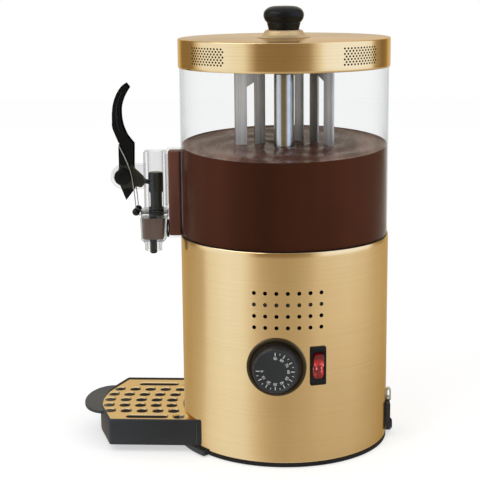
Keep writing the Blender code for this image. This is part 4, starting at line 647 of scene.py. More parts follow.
EVEN = (1, 1, 1)
GRAINED = {
    # Gold-coloured sheet with fine brushing round it, faint wiping marks and pits
    "gold": dict(label="brushed gold", noises=[((4, 4, 1500), 1.0, 2.0), ((1, 1, 2.2), 9.0, 3.0),
                                               ((1, 1, 0.35), 34.0, 4.0)],
                 tone=(0.5, 0.3, 0.2), stops=("gold", (0.30, 0.93), (0.55, 1.0), (0.75, 1.04)),
                 rough=(0.13, 0.05, 0, 0.05), relief=(0, 0.12, 0.0002), Metallic=1.0,
                 Specular_Tint=(0.90, 0.75, 0.50)),
    # Gold turning, dull from the fine rings that the cutting tool left
    "turned gold": dict(label="turned gold", noises=[((2, 2, 900), 1.0, 2.0), (EVEN, 25.0, 3.0)],
                        tone=(0, 1), stops=("gold", (0.3, 0.80), (0.7, 0.95)),
                        rough=(0.46, 0, 0.08), relief=(0, 0.05, 0.0001), Metallic=0.7),
    # Polished steel tube with faint drawing lines along it
    "bright steel": dict(label="bright steel", noises=[((900, 900, 5), 1.0, 2.0), (EVEN, 60.0, 4.0)],
                         tone=(0.5, 0.5), rough=(0.14, 0, 0.08), relief=(0, 0.03, 0.0001),
                         stops=[(0.3, (0.43, 0.438, 0.44)), (0.7, (0.585, 0.595, 0.60))],
                         Metallic=1.0),
    # Plain stainless sheet, dull from rolling
    "sheet steel": dict(label="sheet steel", noises=[((40, 40, 400), 1.0, 3.0), (EVEN, 14.0, 3.0)],
                        tone=(0.5, 0.5), stops=("steel", (0.3, 0.8), (0.7, 1.0)),
                        rough=(0.25, 0.12, 0), relief=(0, 0.04, 0.0002), Metallic=1.0),
    # Polished black moulding with faint swirl marks
    "gloss": dict(label="glossy black moulding", noises=[(EVEN, 30.0, 5.0, 0.6),
                                                         ((1, 1, 6), 260.0, 3.0)],
                  tone=(1, 0), stops=[(0.3, (0.003, 0.003, 0.0035)), (0.7, (0.007, 0.007, 0.008))],
                  rough=(0.10, 0.08, 0), relief=(1, 0.02, 0.0001), Specular_IOR_Level=0.30,
                  Specular_Tint=(0.72, 0.86, 1.0)),
    # Black moulding with a soft shine and faint rings from turning the knob
    "soft black": dict(label="soft black moulding", noises=[((6, 6, 900), 1.0, 2.0),
                                                            (EVEN, 40.0, 4.0)],
                       tone=(0, 1), rough=(0.26, 0, 0.10), relief=(0, 0.04, 0.0001),
                       stops=[(0.3, (0.008, 0.008, 0.008)), (0.7, (0.015, 0.0148, 0.0145))],
                       Specular_IOR_Level=0.15, Specular_Tint=(0.80, 0.90, 1.0)),
    # Black trim painted brown, as a painted reflection of the gold sheet round it
    "ring": dict(label="dial ring moulding", noises=[(EVEN, 30.0, 4.0), (EVEN, 1400.0, 2.0)],
                 tone=(1, 0), stops=[(0.3, (0.016, 0.011, 0.005)), (0.7, (0.032, 0.023, 0.012))],
                 rough=(0.24, 0.12, 0), relief=(1, 0.05, 0.0001), Specular_IOR_Level=0.6,
                 Specular_Tint=(1.0, 0.86, 0.62)),
    # Dull rubber with a dusty, uneven tone
    "rubber": dict(label="rubber", noises=[(EVEN, 90.0, 5.0, 0.7)], tone=(1,),
                   stops=[(0.3, (0.006, 0.006, 0.006)), (0.8, (0.020, 0.019, 0.018))],
                   rough=(0.6, 0.25), relief=(0, 0.15, 0.0002), Specular_IOR_Level=0.25),
    # Grey food-grade moulding with flow marks and fine scratches
    "grey": dict(label="grey moulding", noises=[((1, 1, 0.4), 30.0, 4.0),
                                                ((1, 1, 0.05), 700.0, 2.0)],
                 tone=(0.7, 0.3), stops=("grey", (0.3, 0.82), (0.7, 1.15)), rough=(0.32, 0.12, 0),
                 relief=(1, 0.05, 0.0001)),
    # Cast grey housing
    "motor": dict(label="cast housing", noises=[(EVEN, 300.0, 4.0, 0.6)], tone=(1,),
                  stops=[(0.3, (0.18, 0.19, 0.20)), (0.7, (0.27, 0.28, 0.29))],
                  rough=(0.45, 0.15), relief=(0, 0.2, 0.0003), Metallic=0.6),
    # Heating element with heat tints
    "heater": dict(label="heating element", noises=[(EVEN, 25.0, 4.0)], tone=(1,),
                   stops=[(0.3, (0.20, 0.09, 0.05)), (0.7, (0.42, 0.22, 0.12))],
                   rough=(0.6, 0.2), relief=(0, 0.1, 0.0003)),
    # White paint pressed into the dial, a little thin in places
    "marks": dict(label="dial marks", noises=[(EVEN, 900.0, 3.0)], tone=(1,),
                  stops=("white", (0.3, 0.75), (0.6, 1.0)), rough=(0.5, 0.1)),
}


def lid_gold(look):
    """The lid's gold, brushed in rings on its top and round its skirt, and painted dark inside as
    painted shade.

    The fan of light and dark that rings of brushing reflect is a painted reflection: a ramp over
    the azimuth in the top face's colour.
    """
    f = Finish("lid gold")
    x, y, z = f.split(f.place())
    ring = (x * x + y * y) ** 0.5
    lines = f.get("ShaderNodeTexNoise", {"noise_dimensions": "2D"},
                  {"Vector": f.get("ShaderNodeCombineXYZ", None, {"X": ring * 900.0, "Y": z * 1500.0}),
                   "Scale": 1.0, "Detail": 2.0})
    tone = lines * 0.6 + f.noise(f.place(), 9.0, 3.0) * 0.4
    base = f.ramp(tone, shades(look, "gold", (0.30, 0.92), (0.55, 1.0), (0.78, 1.05)))
    nx, ny, nz = f.normal()
    # Painted reflection: light and dark bands over the azimuth, multiplied into the top face's colour
    fan = f.dial(f.azimuth(x, y), 1.0, "EASE", (-180, 0.50), (-155, 1.0), (-120, 0.80), (-90, 0.62),
                 (-62, 0.52), (-40, 0.72), (-22, 0.80), (-8, 0.45), (4, 0.45), (16, 0.85), (30, 1.0),
                 (70, 1.0), (95, 0.75), (130, 0.60), (155, 0.90), (180, 0.50))
    base = f.mix(f.between(nz, 0.6, 0.95), base, f.mix(1.0, base, fan, "MULTIPLY"))
    # Painted shade: the inside of the skirt and the faces that look down are painted dark brown
    inner = f.between((x * nx + y * ny) / ring, -0.3, -0.6)
    inner = f.maths("MAXIMUM", inner, f.between(nz, -0.3, -0.6))
    base = f.mix(inner, base, (0.060, 0.036, 0.015))
    return f.surface(Base_Color=base, Metallic=1.0, Roughness=0.11 + lines * 0.07,
                     Specular_Tint=(0.85, 0.66, 0.38), Normal=f.bump(lines, 0.12, 0.0002))


def gate_steel(look):
    """Stirrer plates: steel brushed upright, clouded by what has dried on it, with painted light
    and shade that makes the outer bars lighter than the inner ones.
    """
    f = Finish("stirrer steel")
    lines = f.noise(f.place((420, 420, 6)), 1.0, 3.0, 0.6)
    cloud = f.noise(f.place((1, 1, 0.4)), 26.0, 4.0)
    x, y, z = f.split(f.place())
    # Painted light and shade: bars far from the axis are painted lighter, bars near it darker
    outer = f.between((x * x + y * y) ** 0.5, 0.036, 0.044)
    tone = lines * 0.6 + cloud * 0.4
    base = f.mix(outer, f.ramp(tone, [(0.32, (0.18, 0.165, 0.150)), (0.68, (0.46, 0.425, 0.38))]),
                 f.ramp(tone, [(0.32, (0.38, 0.355, 0.33)), (0.68, (0.72, 0.67, 0.62))]))
    return f.surface(Base_Color=base, Metallic=1.0, Roughness=0.28 + cloud * 0.14,
                     Normal=f.bump(lines, 0.10, 0.0002))


def black_satin(look):
    """Black moulding with a fine spark texture, greyer where hands and cloths rub it, and painted
    near black as painted shade on low faces that look up, such as the tray's floor.
    """
    f = Finish("satin black moulding")
    grain = f.noise(f.place(), 1400.0, 2.0)
    cloud = f.noise(f.place(), 22.0, 4.0)
    worn = f.noise(f.place((1, 1, 3)), 60.0, 5.0, 0.65)
    base = f.ramp(cloud * 0.6 + worn * 0.4,
                  shades(look, "black", (0.30, 0.75), (0.55, 1.0), (0.80, 1.5)))
    # Painted shade: faces that look up below 20 to 30 mm, such as the tray's floor under the grille, go
    # near black
    deep = f.between(f.normal()[2], 0.6, 0.9) * f.between(f.split(f.place())[2], 0.030, 0.020)
    base = f.mix(deep, base, (0.006, 0.004, 0.003))
    return f.surface(Base_Color=base, Roughness=0.34 + cloud * 0.16 + grain * 0.06 + deep * 0.6,
                     Specular_Tint=(0.82, 0.91, 1.0), Normal=f.bump(grain, 0.10, 0.00015))


def clear(label, flow, tint, thick, blend, power, waver, rough, shine):
    """Clear plastic: what lies behind shows through with a tint, deeper where the wall is seen
    edge on, and the faces reflect at a grazing view by the shine's (power, share, least)."""
    f = Finish(label)
    stretch, scale = flow
    plain = f.shader("BsdfTransparent", Color=tint)
    deep = f.shader("BsdfTransparent", Color=thick)
    wavy = f.noise(f.place((1, 1, stretch)), scale, 3.0) * waver
    body = f.blended(f.facing(blend) ** power + wavy, plain, deep)
    gloss = f.shader("BsdfGlossy", Color=(0.84, 0.91, 1.0), Roughness=rough)
    grazing, share, least = shine
    return f.layered(f.blended((f.facing(0.5) ** grazing) * share + least, body, gloss))


def drink_look(look):
    """Thick drink: dark where the wall holds it, with lighter swirls, foam and small bubbles
    on its upper face. Painted reflections lighten its side and its upper face to the left and
    right, and a painted highlight lightens the front edge of its upper face."""
    f = Finish("chocolate drink")
    x, y, z = f.split(f.place())
    up = f.between(f.normal()[2], 0.55, 0.85)
    ring = (x * x + y * y) ** 0.5
    wound = f.get("ShaderNodeCombineXYZ", None,
                  {"X": ring * 95.0, "Y": f.maths("ARCTAN2", y, x) * 0.9 + ring * 22.0, "Z": z * 4.0})
    swirl = f.noise(wound, 1.0, 4.0, 0.55)
    cloud = f.noise(f.place(), 30.0, 4.0)
    bubbles = f.get("ShaderNodeTexVoronoi", {"feature": "F1"},
                    {"Vector": f.place(), "Scale": 330.0, "Randomness": 1.0}, "Distance")
    near = f.between(ring, 0.020, 0.060, 1.0, 0.15)
    foam = f.between(bubbles, 0.28, 0.10) * near * f.between(cloud, 0.45, 0.65)
    top = f.mix(f.between(swirl, 0.42, 0.72) * f.between(ring, 0.015, 0.09, 0.35, 0.8),
                (0.120, 0.047, 0.031), tuple(look.froth))
    top = f.mix(foam, top, (0.36, 0.22, 0.16))
    film = f.noise(f.place((1, 1, 0.10)), 17.0, 2.0)
    # Painted reflection: the side is painted lighter to the left and right, mixed with the film's
    # streaks
    reflection_flank = f.between(f.maths("ABSOLUTE", x), 0.015, 0.065)
    side = f.mix(f.between(film, 0.35, 0.65) * 0.4 + reflection_flank * 0.6, toned(look.drink, 0.80),
                 toned(look.drink, 1.62))
    # Painted reflection: lighter pinkish streaks on the upper face, only to the left and right
    streaks = f.between(f.noise(f.place((7, 1.2, 1)), 5.0, 4.0, 0.6), 0.42, 0.62)
    reflection_aside = f.between(f.maths("ABSOLUTE", x), 0.022, 0.050)
    top = f.mix(streaks * reflection_aside * 0.85, top, (0.43, 0.255, 0.20))
    # Painted highlight: a lighter band where the upper face meets the wall at the front
    rim = f.between(ring, 0.1092, 0.1106) * f.between(y, 0.05, 0.0)
    top = f.mix(rim * 0.9, top, (0.30, 0.115, 0.080))
    base = f.mix(up, side, top)
    height = (swirl * 0.6 + foam * 0.5) * up
    return f.surface(Base_Color=base, Roughness=0.5 - up * 0.24, Specular_IOR_Level=0.04,
                     Specular_Tint=(1.0, 0.84, 0.76), Coat_Weight=up * 0.05, Coat_Roughness=0.18,
                     Coat_IOR=1.4, Normal=f.bump(height, 0.25, 0.0012))


def thin_drink(name, rgb):
    """Drink in a narrow clear vessel, lighter where it runs thin down the wall."""
    f = Finish(name)
    run = f.noise(f.place((1, 1, 0.12)), 150.0, 3.0)
    z = f.split(f.place())[2]
    thick = run * 0.7 + f.between(z, 0.20, 0.34) * 0.3
    base = f.ramp(thick, [(0.30, toned(rgb, 0.80)), (0.65, toned(rgb, 1.20))])
    return f.surface(Base_Color=base, Roughness=0.45 + run * 0.1, Specular_IOR_Level=0.15,
                     Normal=f.bump(run, 0.1, 0.0005))


def lit_red(look):
    """Red lens lit from behind, with painted highlights: bright speckles across its middle, in its
    colour and in its glow.
    """
    f = Finish("lit red lens")
    grain = f.noise(f.place(), 200.0, 2.0)
    z = f.split(f.place())[2]
    # Painted highlights: speckles kept to a band across the middle of the rocker, bright in colour and
    # in emission
    highlight_speckle = f.noise(f.place((1, 1, 0.45)), 330.0, 2.0, 0.4)
    highlight_band = f.between(f.maths("ABSOLUTE", z - 0.1095), 0.001, 0.0115, 1.0, 0.0)
    painted_highlights = f.between(highlight_speckle, 0.44, 0.58) * highlight_band
    tone = painted_highlights * 0.7 + grain * 0.3
    base = f.ramp(tone, [(0.12, toned(look.red, 0.22)), (0.45, toned(look.red, 0.8)),
                         (0.9, (0.75, 0.20, 0.20))])
    light = f.ramp(painted_highlights, [(0.0, (0.035, 0.0, 0.001)), (0.6, (0.26, 0.006, 0.012)),
                            (1.0, (0.85, 0.30, 0.28))])
    return f.surface(Base_Color=base, Roughness=0.12 + grain * 0.06, Emission_Color=light,
                     Emission_Strength=1.0, Coat_Weight=0.3, Coat_Roughness=0.05)


SPECIAL = {
    "lid gold": lid_gold, "gate": gate_steel, "satin": black_satin, "drink": drink_look,
    "red": lit_red,
    "outlet drink": lambda look: thin_drink("drink in the outlet", (0.150, 0.054, 0.036)),
    "tap drink": lambda look: thin_drink("drink in the tap", (0.215, 0.145, 0.120)),
    "clear": lambda look: clear("clear plastic", (0.5, 40.0), (0.975, 0.977, 0.977),
                                (0.80, 0.82, 0.84), 0.25, 3.0, 0.02, 0.04, (7.0, 0.8, 0.0)),
    "tap": lambda look: clear("tap plastic", (0.3, 120.0), (0.955, 0.958, 0.958),
                              (0.30, 0.30, 0.32), 0.35, 2.0, 0.02, 0.05, (4.0, 0.9, 0.03)),
}


# Pieces

class DISPENSER_OT_body(Operator):
    """Make the gold shell with its air vents, the base rim and the rear terminal cover"""
    bl_idname = "dispenser.body"
    bl_label = "Body"

    def execute(self, context):
        s = context.scene.dispenser_body
        columns, rows, cells = 7, 4, 4
        pitch = s.vent_pitch / s.radius
        first = s.vent_angle - columns / 2 * pitch
        inside = first + pitch / cells * np.arange(columns * cells + 1)
        rest = np.linspace(inside[-1], first + 2 * np.pi, 150)[1:-1]
        turn = np.concatenate([inside, rest, [first + 2 * np.pi]])
        low = s.vent_top - (rows - 0.5) * s.vent_row
        vents = low + s.vent_row / cells * np.arange(rows * cells + 1)
        edge = np.array([0.0, 0.0003, 0.0009])
        height = np.concatenate([s.bottom + edge, np.linspace(s.bottom + 0.01, low - 0.01, 12), vents,
                                 np.linspace(vents[-1] + 0.008, s.top - 0.006, 4),
                                 s.top - edge[::-1]])
        start = int(np.argmin(np.abs(height - low)))
        blocks = [(k * cells, start + j * cells, cells, cells,
                   (first + (k + 0.5) * pitch, low + (j + 0.5) * s.vent_row))
                  for k in range(columns) for j in range(rows)]
        piece("shell", pierced(turn, height, blocks, s.radius, s.bottom, s.top, s.vent, s.wall),
              "base", "gold", "body_shell")
        rim = [(0, 0.013), (0.1134, 0.013), (0.1134, 0.0047), (0.1152, 0.0047), (0.1152, 0.0004),
               (0, 0.0004)]
        piece("base_rim", lathe(rim, 0.0006, 160), "base", "rubber", "base_plate")
        pad = [(0, 0.006), (0.012, 0.006), (0.0115, 0.0), (0.009, 0.0), (0.008, 0.001), (0, 0.001)]
        for k, place in enumerate(("rear_right", "rear_left", "front_left", "front_right")):
            x, y = circle(np.radians([45 + 90 * k]), 0.088)[0]
            piece("pad_%d" % k, moved(lathe(pad, 0.0008, 40), x, y), "base", "rubber",
                  "foot_" + place)
        self.terminal_cover()
        dress("motor", "gear_motor", "thermostat_body")
        dress("heater", "heater_ring")
        dress("satin", "motor_bracket", "cable_gland")
        dress("grey", "shaft_bush")
        return {"FINISHED"}

    def terminal_cover(self):
        """The cover low on the rear and the clip above it."""
        half, face, back = 0.015, 0.1196, 0.1153
        y = np.linspace(-half, half, 17)
        outline = np.vstack([np.column_stack([np.sqrt(back ** 2 - y ** 2), y]),
                             np.column_stack([np.full(17, face), y[::-1]])])[::-1]
        piece("terminal_cover", plate(outline, 0.0070, 0.0385, 0.0012), "base", "satin",
              "rear_terminal_cover")
        outer = np.vstack([[(0.1155, 0.0388), (0.1207, 0.0388)],
                           circle(np.linspace(0, np.pi, 13), 0.0026, (0.1181, 0.0498))])
        inner = inward(outer, 0.0014)
        half = 0.004
        loop = lofted([outer, outer, inner, inner], [-half, half, half, -half])
        piece("clip", placed(loop, UPRIGHT), "base", "sheet steel", "cable_clip")


class DISPENSER_OT_panel(Operator):
    """Make the thermostat's dial with its numbers, and the rocker switch"""
    bl_idname = "dispenser.panel"
    bl_label = "Dial and switch"

    def execute(self, context):
        s = context.scene.dispenser_body
        rows, origin = outwards(s.dial_angle, s.dial_height)
        front, back = 0.1174, 0.1112
        ring = [(0.004, front - 0.0011), (0.0250, front - 0.0011), (0.0266, front - 0.0011),
                (0.0285, front), (0.0306, front), (0.0315, front - 0.0009), (0.0315, back),
                (0.004, back)]
        verts, faces = lathe(ring, 0.0006)
        reach = np.sqrt(np.maximum(0.1153 ** 2 - verts[:, 0] ** 2, 0))
        verts[:, 2] = np.where(verts[:, 2] < 0.1125, reach, np.maximum(verts[:, 2], reach))
        piece("dial_ring", placed((verts, faces), rows, origin), "base", "ring", "dial_bezel")
        a = np.linspace(0, 2 * np.pi, 288, endpoint=False)[:, None]
        profile = softened([(0, 0.0135), (0.0206, 0.0135), (0.0213, 0.0146), (0.0228, 0.0146),
                            (0.0235, 0.0137), (0.0247, 0.0008), (0.0240, 0.0), (0.003, 0.0),
                            (0.003, -0.0125), (0, -0.0125)], 0.0007)
        r, z = profile.T[:, None]
        flute = np.clip((z - 0.001) / 0.002, 0, 1) * np.clip((0.0134 - z) / 0.001, 0, 1)
        rho = r - flute * (r > 0.0228) * 0.00032 * (1 - np.abs(np.cos(a * 24)))
        knob = sheet(np.stack([rho * np.cos(a), rho * np.sin(a), z + 0 * rho], -1), around=True)
        rows, origin = outwards(s.dial_angle, s.dial_height, 0.1171)
        piece("dial", placed(knob, rows, origin), "thermostat", "satin", "thermostat_knob", sharp=40)
        self.marks(rows, origin)
        self.switch(s)
        return {"FINISHED"}

    def marks(self, rows, origin):
        """Ten numbers, a long mark above each and a short one between, on the dial's face."""
        face = 0.0136
        shapes = []
        for k in range(19):
            inner, outer, half = (0.0182, 0.0201, 0.00034) if k % 2 else (0.0163, 0.0203, 0.00043)
            bar = np.array([(inner, -half), (outer, -half), (outer, half), (inner, half)])
            shapes.append(plate(spun(bar, math.radians(90 - 15 * k)), face - 0.0002, face + 0.00006,
                                0.00003, 1))
        shapes += [self.number("%d" % (90 - 10 * k), math.radians(-30 * k), 0.0137, 0.0041, face)
                   for k in range(10)]
        piece("dial_marks", placed(joined(*shapes), rows, origin), "thermostat", "marks",
              outside=False)

    def number(self, text, turn, reach, size, face):
        """A number as a thin solid, upright at the dial's top and turned with the dial."""
        curve = bpy.data.curves.new("number", "FONT")
        curve.body, curve.size, curve.offset = text, size, size * 0.012
        curve.align_x = curve.align_y = "CENTER"
        curve.extrude, curve.resolution_u = 0.0001, 2
        holder = linked("number", curve)
        bpy.context.view_layer.update()
        mesh = bpy.data.meshes.new_from_object(
            holder.evaluated_get(bpy.context.evaluated_depsgraph_get()))
        verts = np.array([tuple(v.co) for v in mesh.vertices])
        faces = [list(side.vertices) for side in mesh.polygons]
        bpy.data.objects.remove(holder)
        bpy.data.curves.remove(curve)
        bpy.data.meshes.remove(mesh)
        return np.column_stack([spun(verts[:, :2] + [0, reach], turn),
                                verts[:, 2] + face - 0.00004]), faces

    def switch(self, s):
        """Housing with a rounded window, and the bent red rocker in it."""
        front = 0.1175
        rows, origin = outwards(s.switch_angle, s.switch_height)
        outer = ring_of(0.0087, 0.0209, 22, 96)
        window = ring_of(0.0060, 0.0146, 7, 96)
        rings = [outer, outer, inward(outer, 0.0003), inward(outer, 0.0009),
                 inward(window, -0.0007), inward(window, -0.0001), window, window]
        heights = [0.1153, front - 0.0008, front - 0.0003, front, front, front - 0.0003,
                   front - 0.0008, 0.1060]
        barrel = plate(ring_of(0.0066, 0.0183, 22, 64), 0.0915, 0.1154, 0.0005)
        piece("switch_frame", placed(joined(lofted(rings, heights, closed=False), barrel), rows,
                                     origin),
              "base", "soft black", "rocker_switch_housing", outside=False)
        rows, origin = outwards(s.switch_angle, s.switch_height, front)
        tilt = math.radians(7)
        y = np.linspace(-1, 1, 41)[:, None]
        x = np.linspace(-1, 1, 25)[None, :]
        half_x, half_y = 0.0056, 0.0137
        corner = np.clip((np.abs(y) - 0.62) / 0.38, 0, 1)
        crown = 0.0009 * (1 - x ** 2) ** 0.5 * (1 - 0.5 * corner ** 2)
        px = x * half_x * np.sqrt(1 - 0.55 * corner ** 2)
        py = y * half_y + 0 * x
        top = np.stack([px, py, np.abs(py) * math.tan(tilt) - 0.0004 + crown], -1)
        low = np.stack([px, py, np.full_like(px, -0.0041)], -1)
        index = np.arange(2 * 41 * 25).reshape(2, 41, 25)
        border = np.concatenate([index[:, 0, :-1], index[:, :-1, -1], index[:, -1, :0:-1],
                                 index[:, :0:-1, 0]], 1)
        faces = np.vstack([cells_of(index[0]).reshape(-1, 4),
                           cells_of(index[1]).reshape(-1, 4)[:, ::-1], belt(*border)])
        c, q = math.cos(tilt), math.sin(tilt)
        verts = np.stack([top, low]).reshape(-1, 3) @ np.array([[1, 0, 0], [0, c, q], [0, -q, c]])
        piece("rocker", placed((verts, faces), rows, origin), "switch", "red", "rocker_button")


class DISPENSER_OT_tank(Operator):
    """Make the clear tank with its outlet box, the steel column and the basin"""
    bl_idname = "dispenser.tank"
    bl_label = "Tank"

    def execute(self, context):
        s = context.scene.dispenser_tank
        outer, inner = s.radius, s.radius - s.wall
        wall = [(inner, s.top - 0.05), (inner, s.top), (outer, s.top), (outer, s.bottom),
                (inner, s.bottom), (inner, s.top - 0.05)]
        box = ring_of(0.0108, 0.013, 7, 64, (-0.1192, 0))
        box[:, 0] = np.minimum(box[:, 0], -0.1135)
        spout = softened([(0.0055, 0.1362), (0.0075, 0.1362), (0.0075, 0.1288), (0.0055, 0.1288)],
                         0.0004)
        spout = placed(turned(np.vstack([spout, spout[:1]]), 40),
                       [[0, 1, 0], [0, 0, 1], [-1, 0, 0]], (0, 0, 0.237))
        piece("tank", joined(lathe(wall, 0.0007, 224), plate(box, 0.2285, 0.3268, 0.0018, 4), spout),
              "tank", "clear", "tank_wall")
        top, bottom = 0.2338, 0.2323
        seal = [(0.106, bottom + 0.0007), (0.106, top), (0.1133, top), (0.1133, bottom),
                (0.106, bottom), (0.106, bottom + 0.0007)]
        piece("tank_gasket", lathe(seal, 0.0005, 160), "tank", "rubber", "tank_seal")
        bore = s.column - 0.0012
        column = [(bore, 0.3), (bore, 0.4085), (s.column, 0.4085), (s.column, 0.203),
                  (0.016, 0.203), (0.016, 0.2018), (s.column, 0.2018), (s.column, 0.1993),
                  (bore, 0.1993), (bore, 0.3)]
        piece("column", lathe(column, 0.0004, 96), "tank", "bright steel", "centre_column")
        pan = [(0.1106, 0.2353), (0.1106, 0.2341), (0.1034, 0.2341), (0.1034, 0.1993),
               (0.0113, 0.1993), (0.0113, 0.2005), (0.1022, 0.2005), (0.1022, 0.2353),
               (0.1106, 0.2353)]
        piece("pan", lathe(pan, 0.0008), "tank", "sheet steel", "tank_pan")
        basin = [(0.104, 0.231), (0.1134, 0.231), (0.1134, 0.2298), (0.1052, 0.2298),
                 (0.1052, 0.1978), (0.0093, 0.1978), (0.0093, 0.199), (0.104, 0.199), (0.104, 0.231)]
        piece("basin", lathe(basin, 0.0008), "base", "sheet steel", "heating_basin")
        dress("grey", "column_bush")
        dress("rubber", "spout_ring")
        dress("bright steel", "drive_shaft")
        return {"FINISHED"}


def cup(rows, power, steps):
    """Rings of a cup from its reach to the left and right, its half width and its height."""
    return [ring_of((left - right) / 2, half, power, steps, (-(left + right) / 2, 0))
            for left, right, half, _ in rows], [row[-1] for row in rows]


class DISPENSER_OT_drink(Operator):
    """Make the drink in the tank, in the outlet box and in the tap"""
    bl_idname = "dispenser.drink"
    bl_label = "Drink"

    def execute(self, context):
        s = context.scene.dispenser_tank
        outer, hole = s.radius - s.wall - 0.0002, s.column + 0.0003
        a = np.linspace(0, 2 * np.pi, 192, endpoint=False)[:, None]
        r = np.linspace(outer, hole, 72)[None, :]
        x, y = r * np.cos(a), r * np.sin(a)
        share = (r - hole) / (outer - hole)
        wave = 0.0007 * np.sin(3 * a + r * 95) * share + 0.0005 * np.sin(5 * a - r * 160 + 1.0)
        wave = wave * np.clip(share * 6, 0, 1) * np.clip((1 - share) * 9, 0.15, 1)
        dimple = -0.0022 * np.exp(-((r - hole) / 0.007) ** 2)
        creep = 0.0012 * np.exp(-((outer - r) / 0.0016) ** 2)
        top = np.stack([x, y, s.level + s.slosh * y / outer + wave + dimple + creep], -1)
        lip, ledge, floor, pan = 0.2344, 0.2356, 0.2023, 0.1019
        ring = softened([(outer, 0.30), (outer, lip), (0.1109, lip), (0.1109, ledge), (pan, ledge),
                         (pan, floor), (hole, floor), (hole, 0.30)], 0.0006, 2)
        rr, zz = ring.T[:, None]
        low = np.stack([rr * np.cos(a), rr * np.sin(a), zz + 0 * a], -1)
        points = np.concatenate([low[:, -1:], top[:, ::-1], low[:, :-1]], 1)
        piece("drink", sheet(points, around=True, along=True), "mixer", "drink", "chocolate_fill")
        outline = ring_of(0.0071, 0.0107, 7, 48, (-0.1209, 0))
        piece("drink_in_outlet", plate(outline, 0.2308, 0.3248, 0.0012), "tank", "outlet drink",
              "chocolate_in_outlet")
        hole = ring_of(0.0046, 0.0046, 2, 64, (-0.147, 0))
        (low, high), (floor, level) = cup([(0.1581, 0.1352, 0.0104, 0.2259),
                                           (0.1588, 0.1330, 0.0104, 0.2494)], 5, 64)
        piece("drink_in_tap", lofted([hole, low, high, hole], [floor, floor, level, level]), "tank",
              "tap drink", "chocolate_in_tap")
        return {"FINISHED"}


class DISPENSER_OT_mixer(Operator):
    """Dress the stirrer's hub and its gates"""
    bl_idname = "dispenser.mixer"
    bl_label = "Stirrer"

    def execute(self, context):
        dress("gate", "mixer_gate_left", "mixer_gate_right", "mixer_gate_rear", "mixer_hub")
        return {"FINISHED"}


class DISPENSER_OT_lid(Operator):
    """Make the gold lid with its four groups of small holes, the boss and the knob"""
    bl_idname = "dispenser.lid"
    bl_label = "Lid"

    def execute(self, context):
        s = context.scene.dispenser_lid
        r, wall, count = s.radius, 0.001, 11
        half_cell = s.hole_pitch / r / 2
        lines = [math.radians(middle) + half_cell * (np.arange(2 * count + 2) - count - 0.5)
                 for middle in (-42.7, 45.2, 134.8, 225.2)]
        turn = []
        for line, after in zip(lines, lines[1:] + [lines[0] + 2 * np.pi]):
            turn += [line, np.linspace(line[-1], after[0], 24)[1:-1]]
        starts = np.cumsum([0] + [len(part) for part in turn])[::2]
        turn = np.concatenate(turn + [[lines[0][0] + 2 * np.pi]])
        rows = 0.4243 + s.hole_row / 2 * np.arange(-1, 14)
        height = np.concatenate([[s.bottom, s.bottom + 0.0004, s.bottom + 0.0025], rows,
                                 [s.top - 0.0045, s.top - 0.0022]])
        blocks = [(start + 2 * k + row % 2, 3 + 2 * row, 2, 2,
                   (turn[start + 2 * k + row % 2 + 1], rows[2 * row + 1]))
                  for start in starts[:4] for row in range(7) for k in range(count)]
        skirt = pierced(turn, height, blocks, r, s.bottom, np.inf, s.hole, wall)
        cover = softened([(r - wall, s.top - 0.0022), (r - wall, s.top - wall), (0.003, s.top - wall),
                          (0.003, s.top), (r, s.top), (r, s.top - 0.0022)], 0.0021, 6)
        piece("lid", joined(skirt, swept(cover, turn[:-1] - math.pi / 2)), "lid", "lid gold",
              "lid_shell")
        bottom = 0.4213
        seal = [(0.1085, 0.43), (0.1085, 0.4445), (0.1100, 0.4445), (0.1100, bottom + 0.0015),
                (0.1138, bottom + 0.0015), (0.1138, bottom), (0.1085, bottom), (0.1085, 0.43)]
        piece("lid_gasket", lathe(seal, 0.0005), "lid", "rubber", "lid_seal")
        base, rise = s.top + 0.0003, 0.0077
        boss = softened([(0.003, rise), (0.0192, rise), (0.0203, rise - 0.0006), (0.0222, 0.0040),
                         (0.0246, 0.0016), (0.0286, 0.0001), (0.0286, -0.0003), (0.003, -0.0003)],
                        0.0022, 6)
        piece("boss", moved(turned(boss, 96), z=base), "lid", "turned gold", "lid_boss")
        side = flowing([(0.0, 1.002), (0.28, 1.0), (0.60, 0.975), (0.82, 0.895), (0.95, 0.78),
                        (1.0, 0.64), (0.985, 0.51), (0.92, 0.39), (0.84, 0.31)], 8)
        neck = softened([(0.84, 0.31), (0.815, 0.290), (0.83, 0.265), (0.775, 0.10), (0.76, 0.0),
                         (0.14, 0.0)], 0.02, 4)
        knob = turned(np.vstack([side, neck[1:]]) * [s.knob, s.knob_height])
        piece("knob", moved(knob, z=base + rise + 0.0003), "lid", "soft black", "lid_knob")
        dress("bright steel", "knob_screw")
        return {"FINISHED"}


